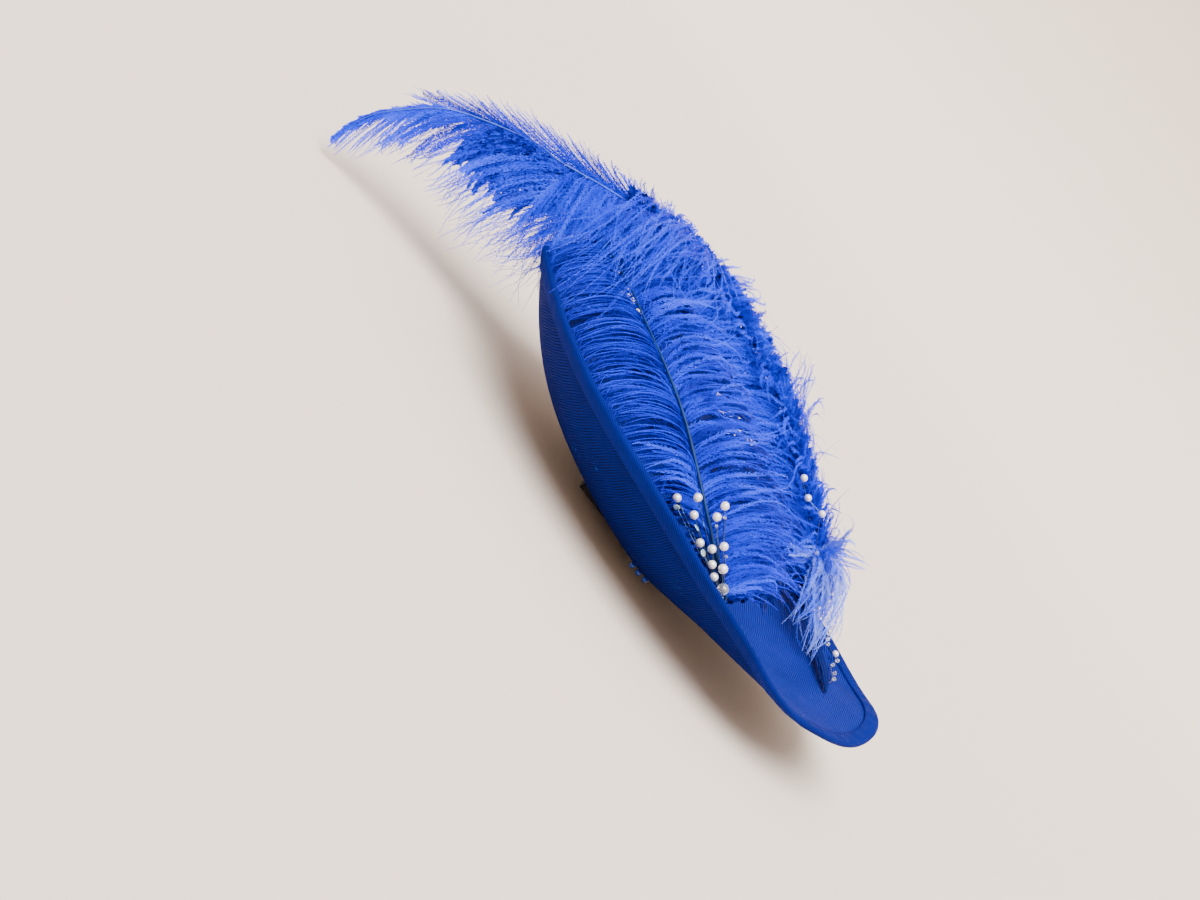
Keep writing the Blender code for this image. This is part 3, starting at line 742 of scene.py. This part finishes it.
def barb_paths(rows, run, side, random, lie):
    """Paths from quill to tip on one side, for lengths along the quill."""
    sweep, arch, clump, clump_step, loose, curl, reach, droop = lie
    fine, lengths = quill_run(rows)
    count = len(run)
    positions = np.interp(run, lengths, fine)
    beside = table_rows(rows, positions)[:, :3] * DISH_LENGTH
    ahead = table_rows(rows, positions + 0.05) * DISH_LENGTH
    behind = table_rows(rows, positions - 0.05) * DISH_LENGTH
    along = unit(ahead[:, :3] - behind[:, :3])
    across = unit(ahead[:, 6:9] - ahead[:, 3:6])
    up = unit(np.cross(across, along))
    up = np.where(up[:, 2:] < 0, -up, up)
    group = (np.floor(run / clump_step) + 0.5) * clump_step
    gathered = np.interp(run + (group - run) * clump, lengths, fine)
    tip = table_rows(rows, gathered)[:, side : side + 3] * DISH_LENGTH
    out = (tip - beside) * random.normal(reach, 0.07, (count, 1))
    length = np.linalg.norm(out, axis=1, keepdims=True)
    out = out + random.normal(0.0, 1.0, (count, 3)) * loose * length
    tip = beside + out
    base_run = np.maximum(run - sweep * length[:, 0], run[0] * 0.98)
    base = table_rows(rows, np.interp(base_run, lengths, fine))[:, :3] * DISH_LENGTH
    rise = up * length * arch * (1.0 + random.normal(0.0, 0.4, (count, 1)))
    first = base + (beside - base) * 0.70 + out * 0.22 + rise
    second = base + (beside - base) * 0.95 + out * 0.72 + rise * 1.25
    share = np.linspace(0.0, 1.0, BARB_STEPS)[None, :, None]
    rest = 1.0 - share
    path = base[:, None] * rest**3 + 3 * first[:, None] * rest**2 * share
    path = path + 3 * second[:, None] * rest * share**2 + tip[:, None] * share**3
    hook = (np.maximum(share - 0.5, 0.0) / 0.5) ** 2
    turned = random.normal(-0.2, 0.9, (count, 1, 1)) * curl
    lifted = random.normal(0.2, 0.8, (count, 1, 1)) * curl
    drawn = random.uniform(0.0, 1.2, (count, 1, 1)) * curl
    bent = along[:, None] * turned + up[:, None] * lifted - unit(out)[:, None] * drawn
    bent[..., 2] -= droop
    path = path + bent * hook
    phase = random.uniform(0, math.tau, (count, 1, 1))
    wave = np.sin(phase + share * 8) * share * curl * 0.12
    return path + (up[:, None] + along[:, None]) * wave


def kept_in_dish(path):
    """Points of barbs, those that would pass the dish's wall laid against its inner face."""
    across = np.hypot(path[..., 0] / DISH_LENGTH, path[..., 1] / DISH_WIDTH) * 2
    bearing = np.arctan2(path[..., 1] / DISH_WIDTH, path[..., 0] / DISH_LENGTH)
    rim_height = dish_point(bearing, np.ones_like(across))[..., 2]
    past = (across > RIM_STOP) & (path[..., 2] < rim_height + BARB_OVER_RIM)
    pulled = np.where(past, RIM_STOP / np.maximum(across, 0.01), 1.0)
    floor = dish_point(bearing, np.minimum(across, RIM_STOP))[..., 2]
    floor = floor + DISH_WALL + BARB_OVER_CLOTH
    height = np.where(across < 1.0, np.maximum(path[..., 2], floor), path[..., 2])
    height = np.where(past, np.maximum(path[..., 2], floor), height)
    return np.stack((path[..., 0] * pulled, path[..., 1] * pulled, height), axis=-1)


def ring_faces(rows, sides):
    """Faces of a tube of this many rings and sides, with both ends closed."""
    ring = np.arange(rows - 1)[:, None] * sides
    first = (ring + np.arange(sides)[None, :]).ravel()
    after = (ring + (np.arange(sides)[None, :] + 1) % sides).ravel()
    quads = np.stack((first, after, after + sides, first + sides), axis=1)
    last_ring = (rows - 1) * sides
    return [quads, np.arange(sides)[::-1][None, :], (np.arange(sides) + last_ring)[None, :]]


def quill_piece(name, rows, first, last, radius, rise, material):
    """A quill as a slim tube, standing rise proud of the barbs, that tapers to its tip."""
    steps = 90
    positions = np.linspace(first, last, steps)
    path = table_rows(rows, positions)[:, :3] * DISH_LENGTH
    path = path + np.array((0.0, -0.7, 0.7)) * rise
    along = unit(np.gradient(path, axis=0))
    side = unit(np.cross(along, np.array((0.0, 0.3, 1.0))))
    over = np.cross(side, along)
    sides = 8
    taper = radius * (1.0 - 0.8 * np.linspace(0, 1, steps) ** 1.2)[:, None]
    rings = []
    for step in range(sides):
        turned = math.tau * step / sides
        rings.append(path + (side * math.cos(turned) + over * math.sin(turned)) * taper)
    points = np.stack(rings, axis=1).reshape(-1, 3)
    made = mesh_piece(name, lay(points), ring_faces(steps, sides), material)
    return made


def clouded_material(name, colour, other, clouds, finish):
    """A surface whose colour wanders between two, with this finish."""
    made, tree = new_material(name)
    place = add_node(tree, "ShaderNodeTexCoord")
    cloud = add_node(
        tree, "ShaderNodeTexNoise", values=clouds, links={"Vector": place.outputs["Object"]}
    )
    tone = add_node(
        tree,
        "ShaderNodeMix",
        {"data_type": "RGBA"},
        {"A": linear(colour), "B": linear(other)},
        {"Factor": cloud},
    )
    shader = add_node(
        tree, "ShaderNodeBsdfPrincipled", values=finish, links={"Base Color": tone}
    )
    close_material(tree, shader)
    return made


def plume_piece(name, rows, node, layers, material, seed):
    """Layers of barbs: spacing, first and last row, side, lie, barbule size and count.

    Tips near the floor or above the crest are pressed toward that height.
    """
    random = np.random.default_rng(seed)
    fine, lengths = quill_run(rows)
    points = []
    groups = ([], [])
    uvs = []
    total = 0
    for spacing, first, last, side, lie, (fuzz, breadth), per_side in layers:
        ends = np.interp((first, last), fine, lengths)
        run = np.arange(ends[0], ends[1], spacing)
        run = run + random.normal(0.0, spacing * 0.4, len(run))
        paths = barb_paths(rows, run, side, random, lie)
        if side == LEFT and rows is FRONT_ROWS:
            paths = kept_in_dish(paths)
        made, faces, uv = down_strands(paths, fuzz, breadth, per_side, random)
        points.append(made)
        uvs.append(uv)
        for group, more in zip(groups, faces):
            group.append(more + total)
        total += len(made)
    groups = [np.concatenate(group) for group in groups]
    laid = lay(np.concatenate(points))
    low = laid[:, 2] < FLOOR_CLEARANCE
    laid[low, 2] = FLOOR_CLEARANCE + (laid[low, 2] - FLOOR_CLEARANCE) * FLOOR_GIVE
    high = laid[:, 2] > CREST_HEIGHT
    laid[high, 2] = CREST_HEIGHT + (laid[high, 2] - CREST_HEIGHT) * CREST_GIVE
    piece = mesh_piece(name, laid, groups, material, uv=np.concatenate(uvs))
    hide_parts(node)
    return piece


# Each side's first column in a table, and the length and breadth of barbules.
LEFT, RIGHT = 3, 6
FINE = (0.0011, 0.00022)
SLIM = (0.0020, 0.00024)
SOFT = (0.0030, 0.00042)
DENSE = (0.0040, 0.0014)
MATTED = (0.0062, 0.0030)
WISPY = (0.0016, 0.00034)
front_down = down_material("dyed_ostrich_down", "#00034C", "#0414D4", "#1C34FF", "#2040FF")
rear_down = down_material("light_ostrich_down", "#000470", "#061AE8", "#2C48FF", "#2040FF")
# The under layers' down is a darker copy of the top down: painted shade beneath the top barbs.
front_underdown_painted_shade = down_material("ostrich_underdown_painted_shade", "#00012A", "#010A66", "#0416A0", "#1020A0")
rear_underdown_painted_shade = down_material("light_ostrich_underdown_painted_shade", "#00023C", "#040E90", "#1026C8", "#1020A0")

# How barbs lie: sweep along the quill as a share of their length, arch, how far they clump
# and the clumps' spacing, looseness, curl of their ends, reach and droop of the tips.
FRONT_COMBED = (0.20, 0.10, 0.96, 0.0046, 0.010, 0.0015, 1.00, 0.009)
FRONT_STRAY = (0.60, 0.16, 0.0, 0.0044, 0.200, 0.006, 0.85, 0.004)
FRONT_UNDER = (0.25, 0.00, 0.2, 0.0046, 0.040, 0.003, 0.98, 0.010)
FRONT_FINE = (0.30, 0.08, 0.30, 0.0030, 0.030, 0.004, 0.98, 0.0)
FRONT_CURLS = (0.30, 0.16, 0.5, 0.0060, 0.100, 0.016, 1.02, 0.0)
FRONT_FRINGE = (0.35, 0.12, 0.3, 0.0050, 0.120, 0.006, 0.92, 0.003)
plume_piece(
    "front_plume_left",
    FRONT_ROWS,
    "front_feather",
    (
        (0.0011, 1.9, 9.95, LEFT, FRONT_COMBED, FINE, 90),
        (0.0080, 2.5, 9.5, LEFT, FRONT_STRAY, FINE, 70),
    ),
    front_down,
    11,
)
plume_piece(
    "front_plume_right",
    FRONT_ROWS,
    "front_feather",
    ((0.0009, 1.7, 9.95, RIGHT, FRONT_FINE, SLIM, 75),),
    front_down,
    12,
)
# The curls and the low fringe take the rear plume's lighter down. On the curls this is partly
# painted highlight, where their ends catch the light.
plume_piece(
    "front_plume_curls",
    FRONT_ROWS,
    "front_feather",
    (
        (0.0030, 2.0, 9.5, RIGHT, FRONT_CURLS, SOFT, 80),
        (0.0024, 2.2, 4.8, LEFT, FRONT_FRINGE, SOFT, 60),
    ),
    rear_down,
    22,
)
plume_piece(
    "front_plume_under",
    FRONT_ROWS,
    "front_feather",
    (
        (0.0024, 1.9, 9.95, LEFT, FRONT_UNDER, DENSE, 65),
        (0.0017, 1.7, 9.95, RIGHT, FRONT_UNDER, MATTED, 60),
    ),
    front_underdown_painted_shade,
    17,
)

# A dyed quill is smooth horn, a little glossy, with faint streaks where the dye took less.
HORN_STREAKS = {"Scale": 240.0, "Detail": 3.0}
HORN_FINISH = {"Roughness": 0.4, "Specular IOR Level": 0.15}
front_horn = clouded_material(
    "dyed_quill_dark", "#01082E", "#0E3A74", HORN_STREAKS, HORN_FINISH
)
quill_piece("front_quill", FRONT_ROWS, 0.0, 10.0, 0.0014, 0.0024, front_horn)

# The rear plume rises from under the leaf, arches over the dish and hangs past the narrow
# end. Over the front plume's top its barbs fall forward, and these rows hold their tips.
FALLING_ROWS = np.array(
    (
        (-0.3155, 0.2141, 0.1667, -0.2818, -0.0174, 0.1751, -0.2863, 0.2535, 0.2072),
        (-0.3941, 0.1775, 0.1540, -0.3509, -0.1066, 0.1242, -0.3855, 0.2141, 0.1967),
        (-0.4550, 0.1493, 0.1383, -0.4035, -0.1809, 0.0808, -0.4644, 0.1746, 0.1802),
        (-0.4982, 0.1296, 0.1248, -0.4502, -0.1700, 0.0620, -0.5204, 0.1508, 0.1621),
        (-0.5419, 0.1122, 0.1077, -0.4546, -0.0046, -0.0495, -0.5745, 0.1303, 0.1426),
        (-0.5976, 0.0930, 0.0839, -0.4653, -0.0116, -0.0817, -0.6412, 0.1070, 0.1169),
        (-0.6282, 0.0855, 0.0757, -0.5390, -0.0014, -0.0871, -0.6805, 0.0944, 0.0991),
    )
)
REAR_HANGING = (0.45, 0.12, 0.5, 0.0040, 0.050, 0.009, 1.00, 0.0)
REAR_FALLING = (0.30, 0.24, 0.75, 0.0075, 0.070, 0.016, 1.00, 0.0)
REAR_FALLEN = (0.10, 0.15, 0.0, 0.0050, 0.080, 0.010, 0.72, 0.0)
REAR_FANNED = (1.15, 0.08, 0.4, 0.0040, 0.060, 0.008, 1.04, 0.002)
REAR_UNDER = (0.45, 0.02, 0.1, 0.0040, 0.050, 0.004, 0.96, 0.0)
REAR_UNDER_TIP = (0.80, 0.02, 0.1, 0.0040, 0.040, 0.003, 0.58, 0.0)
REAR_CREST = (0.45, 0.26, 0.6, 0.0060, 0.100, 0.014, 0.86, 0.0)
REAR_NAPE = (2.60, 0.03, 0.3, 0.0040, 0.070, 0.003, 0.92, 0.0)
REAR_POINT = (1.30, 0.04, 0.5, 0.0040, 0.050, 0.003, 1.00, 0.0)
REAR_POINT_BAND = (1.60, 0.02, 0.1, 0.0040, 0.050, 0.001, 0.28, 0.0)
REAR_BURST = (0.10, 0.10, 0.0, 0.0060, 0.180, 0.008, 1.70, 0.0)
REAR_RUFFLE = (0.20, 0.55, 0.5, 0.0060, 0.260, 0.012, 0.38, 0.0)
plume_piece(
    "rear_plume_left",
    REAR_ROWS,
    "rear_feather",
    ((0.0010, 2.2, 9.0, LEFT, REAR_HANGING, SOFT, 70),),
    rear_down,
    13,
)
plume_piece(
    "rear_plume_tip",
    REAR_ROWS,
    "rear_feather",
    (
        (0.0009, 9.0, 15.4, LEFT, REAR_FANNED, SOFT, 70),
        (0.0016, 15.0, 16.98, LEFT, REAR_POINT, WISPY, 50),
        (0.0013, 12.0, 14.8, LEFT, REAR_POINT_BAND, SOFT, 45),
        (0.0009, 14.0, 16.98, LEFT, REAR_POINT_BAND, WISPY, 50),
        (0.0009, 7.8, 14.3, RIGHT, REAR_NAPE, SOFT, 50),
        (0.0011, 14.0, 16.98, RIGHT, REAR_POINT_BAND, WISPY, 50),
    ),
    rear_down,
    16,
)
plume_piece(
    "rear_plume_falling",
    FALLING_ROWS,
    "rear_feather",
    (
        (0.0008, 0.0, 5.99, LEFT, REAR_FALLING, SOFT, 75),
        (0.0008, 3.5, 5.99, LEFT, REAR_FALLING, SOFT, 65),
        (0.0021, 1.0, 5.0, LEFT, REAR_FALLEN, SOFT, 75),
    ),
    rear_down,
    18,
)
plume_piece(
    "rear_plume_crest",
    REAR_ROWS,
    "rear_feather",
    (
        (0.0014, 2.0, 8.6, RIGHT, REAR_CREST, SOFT, 54),
        (0.0024, 2.2, 8.6, RIGHT, REAR_RUFFLE, SOFT, 50),
        (0.0020, 2.2, 8.6, LEFT, REAR_RUFFLE, SOFT, 50),
        (0.0016, 6.4, 6.9, RIGHT, REAR_BURST, SOFT, 60),
        (0.0018, 4.7, 5.3, RIGHT, REAR_BURST, SOFT, 60),
    ),
    rear_down,
    14,
)
plume_piece(
    "rear_plume_under",
    REAR_ROWS,
    "rear_feather",
    (
        (0.0016, 2.0, 9.8, LEFT, REAR_UNDER, MATTED, 60),
        (0.0017, 9.0, 13.2, LEFT, REAR_UNDER_TIP, MATTED, 50),
        (0.0030, 2.0, 9.5, RIGHT, REAR_UNDER_TIP, MATTED, 40),
    ),
    rear_underdown_painted_shade,
    15,
)
rear_horn = clouded_material(
    "dyed_quill_light", "#142C9C", "#5C7CF0", HORN_STREAKS, HORN_FINISH
)
quill_piece("rear_quill_stem", REAR_ROWS, 0.0, 8.2, 0.0010, 0.0, rear_horn)
quill_piece("rear_quill_tip", REAR_ROWS, 8.2, 16.4, 0.0006, 0.0008, rear_horn)

# The tuft is a short bunch of lighter ostrich down, bound at its foot beside the quill. Its
# barbs are few and spread, so it looks paler than the plumes. Each count below is for the
# barbs that end near the tip of the same place in the list.
TUFT_HEAD = np.array((0.2535, 0.2356, 0.0436))
TUFT_TIPS = np.array(
    (
        (0.2313, 0.2197, 0.1113),
        (0.2678, 0.2254, 0.0943),
        (0.3147, 0.2141, 0.1112),
        (0.3257, 0.2085, 0.0529),
        (0.4032, 0.2084, -0.0140),
        (0.3534, 0.0931, -0.0443),
        (0.3547, 0.0646, -0.0403),
        (0.2926, 0.0986, -0.0266),
        (0.1952, 0.1572, 0.0231),
        (0.3133, 0.183, -0.0075),
        (0.3450, 0.1300, -0.0100),
    )
)
TUFT_COUNTS = (6, 6, 5, 8, 4, 12, 14, 14, 9, 14, 12)
TUFT_FUZZ = (0.0034, 0.00046)
tuft_down = down_material("pale_dyed_ostrich_down", "#0A28C8", "#2C4EFF", "#88A2FF", "#5070FF")
random = np.random.default_rng(5)
wanted = np.repeat(TUFT_TIPS, TUFT_COUNTS, axis=0)
starts = (TUFT_HEAD + random.normal(0.0, 0.006, wanted.shape)) * DISH_LENGTH
ends = (wanted + random.normal(0.0, 0.010, wanted.shape)) * DISH_LENGTH
share = np.linspace(0.0, 1.0, 10)[None, :, None]
way = ends - starts
length = np.linalg.norm(way, axis=1)[:, None, None]
lift = random.normal(0.0, 0.12, (len(starts), 1, 3)) + np.array((0.0, -0.05, 0.12))
tuft_paths = starts[:, None] + way[:, None] * share + lift * length * 4 * share * (1 - share)
points, faces, uv = down_strands(tuft_paths, *TUFT_FUZZ, 80, random)
tuft = mesh_piece("pale_tuft", lay(points), faces, tuft_down, uv=uv)
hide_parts("side_tuft")

# The pearls are glass or resin balls with a pearl lacquer, drilled for the wire. The lacquer
# gives a milky body with a small clear highlight.
pearl = clouded_material(
    "lacquered_pearl",
    "#F4ECEE",
    "#FFFFFF",
    {"Scale": 160.0, "Detail": 2.0},
    {
        "Roughness": 0.22,
        "Metallic": 0.35,
        "Specular IOR Level": 0.7,
        "Coat Weight": 1.0,
        "Coat Roughness": 0.05,
        "Sheen Weight": 0.25,
        "Sheen Tint": linear("#F5E0EC"),
    },
)


def turned_bead(name, node, profile, sides, material, smooth):
    """A bead turned about its hole: rings of a profile of (radius, height) shares."""
    low, high = (np.array(corner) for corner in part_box(node))
    middle = (low + high) / 2
    radius = (high - low).max() / 2
    seed = sum(ord(letter) * (place + 1) for place, letter in enumerate(node))
    local = np.random.default_rng(seed)
    axis = unit(local.normal(size=3) * 0.5 + np.array((0.0, 0.2, 1.0)))
    side = unit(np.cross(axis, np.array((0.3, 1.0, 0.1))))
    over = np.cross(axis, side)
    rings = []
    for out, height in profile:
        turned = (np.arange(sides) + local.uniform(0, 0.01)) * math.tau / sides
        spoke = np.cos(turned)[:, None] * side + np.sin(turned)[:, None] * over
        rings.append(middle + (spoke * out + axis * height) * radius)
    faces = ring_faces(len(profile), sides)
    made = mesh_piece(name, np.concatenate(rings), faces, material, smooth=smooth)
    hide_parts(node)
    return made


round_profile = [(0.14, -0.90), (0.17, -0.985)]
for step in range(1, 14):
    slope = math.pi * step / 14
    round_profile.append((max(math.sin(slope), 0.17), -math.cos(slope)))
round_profile += [(0.17, 0.985), (0.14, 0.90)]
for number in range(1, 12):
    node = f"pearl_{number:02d}"
    turned_bead(f"spray_{node}", node, round_profile, 24, pearl, True)
for number in range(1, 5):
    node = f"strand_pearl_{number}"
    turned_bead(f"round_{node}", node, round_profile, 24, pearl, True)

# The crystals are machine-cut lead glass, drilled for the wire: a table at each end, and two
# rows of facets on either side of a straight girdle. The glass gives small bright glints.
crystal = clouded_material(
    "cut_lead_crystal",
    "#D6E6FF",
    "#FFFFFF",
    {"Scale": 300.0, "Detail": 1.0},
    {"Roughness": 0.01, "IOR": 1.75, "Transmission Weight": 0.9, "Coat Weight": 0.5},
)
cut_profile = [
    (0.35, -0.82),
    (0.80, -0.52),
    (1.0, -0.12),
    (1.0, 0.12),
    (0.80, 0.52),
    (0.35, 0.82),
]
cut_nodes = [f"spray_crystal_{number}" for number in range(1, 4)]
cut_nodes += [f"strand_crystal_{number:02d}" for number in range(1, 12)]
for node in cut_nodes:
    turned_bead(f"cut_{node}", node, cut_profile, 10, crystal, False)
ball_profile = [(0.14, -0.9)]
for step in range(1, 9):
    slope = math.pi * step / 9
    ball_profile.append((math.sin(slope), -math.cos(slope)))
ball_profile.append((0.14, 0.9))
turned_bead("cut_spray_ball", "spray_ball", ball_profile, 14, crystal, False)

# Three flat cups pressed from pale lacquered film are threaded among the pearls. The thin
# lacquer catches green and blue.
film, tree = new_material("iridescent_film")
place = add_node(tree, "ShaderNodeTexCoord")
bands = add_node(
    tree,
    "ShaderNodeTexNoise",
    values={"Scale": 420.0, "Detail": 1.0},
    links={"Vector": place.outputs["Object"]},
)
ramp = add_node(tree, "ShaderNodeValToRGB", links={"Fac": bands})
ramp.color_ramp.elements[0].position = 0.35
ramp.color_ramp.elements[0].color = linear("#8FD0F0")
ramp.color_ramp.elements[1].position = 0.65
ramp.color_ramp.elements[1].color = linear("#E4FBF4")
shader = add_node(
    tree,
    "ShaderNodeBsdfPrincipled",
    values={"Roughness": 0.12, "Metallic": 0.25, "Coat Weight": 0.6},
    links={"Base Color": ramp},
)
close_material(tree, shader)
cup_profile = [(0.3, -0.1), (1.2, -0.2), (1.7, 0.1), (1.6, 0.2), (1.0, 0.0), (0.3, 0.0)]
for number in range(4, 7):
    node = f"spray_crystal_{number}"
    turned_bead(f"film_{node}", node, cup_profile, 12, film, False)

# The three beads under the dish are blue glass, slightly flattened at the hole and polished.
# The glass gives a deep colour with small sharp highlights.
blue_glass = clouded_material(
    "blue_bead_glass",
    "#0E2FA8",
    "#2E62F0",
    {"Scale": 200.0, "Detail": 2.0},
    {"Roughness": 0.05, "IOR": 1.52, "Transmission Weight": 0.45, "Coat Weight": 0.4},
)
for number in range(1, 4):
    node = f"blue_bead_{number}"
    turned_bead(f"glass_{node}", node, round_profile, 20, blue_glass, True)

# The spray's stems and the strand's wire are fine silver-plated craft wire, drawn smooth.
# They give thin bright lines. Their metal colour is a darker blue-grey, a painted reflection of
# the blue cloth and down beside them.
silver, tree = new_material("drawn_craft_wire")
place = add_node(tree, "ShaderNodeTexCoord")
drawn = add_node(
    tree,
    "ShaderNodeTexNoise",
    values={"Scale": 700.0, "Detail": 1.0},
    links={"Vector": place.outputs["Object"]},
)
rough = add_node(
    tree,
    "ShaderNodeMath",
    {"operation": "MULTIPLY_ADD"},
    {1: 0.2, 2: 0.18},
    {0: drawn},
)
shader = add_node(
    tree,
    "ShaderNodeBsdfPrincipled",
    values={"Base Color": linear("#55688F"), "Metallic": 1.0},
    links={"Roughness": rough},
)
close_material(tree, shader)
for node in ("spray_wires", "strand_wire"):
    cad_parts[node].data.materials.clear()
    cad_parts[node].data.materials.append(silver)

# The leaf over the rear quill's foot is a folded scrap of the dish's cloth, pleated along
# its length and stiffened, which gives a matt face. Its fine dark lines are painted shade
# between the ribs, and its cloth is coloured as dark as the dish's outside, as painted shade
# for the shadow beside the fold. Each row holds a point of its middle line and its breadth
# there, 1 being full.
LEAF_SPINE = np.array(
    (
        (0.3407, 0.1491, -0.0193, 0.12),
        (0.3627, 0.1203, -0.0290, 0.85),
        (0.3812, 0.0759, -0.0297, 1.00),
        (0.3905, 0.0190, -0.0266, 0.80),
        (0.4004, -0.0189, -0.0325, 0.10),
    )
)
LEAF_HALF_WIDTH = 0.0042
LEAF_FOLD = 0.0024
PLEAT = 0.0005
LEAF_THICK = 0.0005
LEAF_PITCH = 0.0012

shade_painted_leaf_cloth, tree = new_material("folded_sinamay_leaf_painted_shade")
place = add_node(tree, "ShaderNodeTexCoord")
turned_place = add_node(
    tree,
    "ShaderNodeMapping",
    values={"Rotation": (0.0, 0.0, 0.8)},
    links={"Vector": place.outputs["Object"]},
)
lines = add_node(
    tree,
    "ShaderNodeTexWave",
    {"wave_type": "BANDS", "bands_direction": "X"},
    {"Scale": math.tau / LEAF_PITCH / 20, "Distortion": 1.5, "Detail": 2.0},
    {"Vector": turned_place},
)
# The dark bands and the dark overall colour are painted shade.
tone = add_node(
    tree,
    "ShaderNodeMix",
    {"data_type": "RGBA"},
    {"A": linear("#000526"), "B": linear("#0A1C70")},
    {"Factor": lines},
)
relief = add_node(
    tree,
    "ShaderNodeBump",
    values={"Strength": 0.6, "Distance": 0.0003},
    links={"Height": lines},
)
shader = add_node(
    tree,
    "ShaderNodeBsdfPrincipled",
    values={"Roughness": 0.7, "Specular IOR Level": 0.08},
    links={"Base Color": tone, "Normal": relief},
)
close_material(tree, shader)
spots = table_rows(LEAF_SPINE, np.linspace(0.0, 4.0, 40))
spine = spots[:, :3] * DISH_LENGTH
broadness = np.clip(spots[:, 3], 0.08, 1.1)[:, None, None]
along = unit(np.gradient(spine, axis=0))
broad = unit(np.cross(along, np.array((0.0, 0.0, 1.0))))
lifted = np.cross(broad, along)
across = np.linspace(-1.0, 1.0, 25)[None, :, None]
fold = (1.0 - np.abs(across) ** 1.3) * LEAF_FOLD * (0.4 + 0.6 * broadness)
ripple = np.cos(across * math.pi * 4.0) * PLEAT * broadness
top = spine[:, None] + broad[:, None] * across * LEAF_HALF_WIDTH * broadness
top = top + lifted[:, None] * (fold + ripple)
under = top - lifted[:, None] * LEAF_THICK
sheet = np.concatenate((top, under[:, ::-1]), axis=1)
wide = sheet.shape[1]
column, row = np.meshgrid(np.arange(len(sheet) - 1), np.arange(wide), indexing="ij")
first = (column * wide + row).ravel()
after = (column * wide + (row + 1) % wide).ravel()
quads = np.stack((first, first + wide, after + wide, after), axis=1)
last_row = (len(sheet) - 1) * wide
ends = [np.arange(wide)[None, :], (np.arange(wide)[::-1] + last_row)[None, :]]
leaf = mesh_piece("folded_leaf", lay(sheet.reshape(-1, 3)), [quads] + ends, shade_painted_leaf_cloth)
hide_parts("quill_cover")

# The comb is moulded black plastic with a fine matt grain, fixed under the dish. It gives a
# dark edge with a faint gloss.
comb_plastic, tree = new_material("moulded_comb_plastic")
place = add_node(tree, "ShaderNodeTexCoord")
grain = add_node(
    tree,
    "ShaderNodeTexNoise",
    values={"Scale": 900.0, "Detail": 2.0},
    links={"Vector": place.outputs["Object"]},
)
relief = add_node(
    tree,
    "ShaderNodeBump",
    values={"Strength": 0.2, "Distance": 0.0001},
    links={"Height": grain},
)
shader = add_node(
    tree,
    "ShaderNodeBsdfPrincipled",
    values={"Base Color": linear("#17181C"), "Roughness": 0.42},
    links={"Normal": relief},
)
close_material(tree, shader)
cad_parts["comb"].data.materials.clear()
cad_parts["comb"].data.materials.append(comb_plastic)
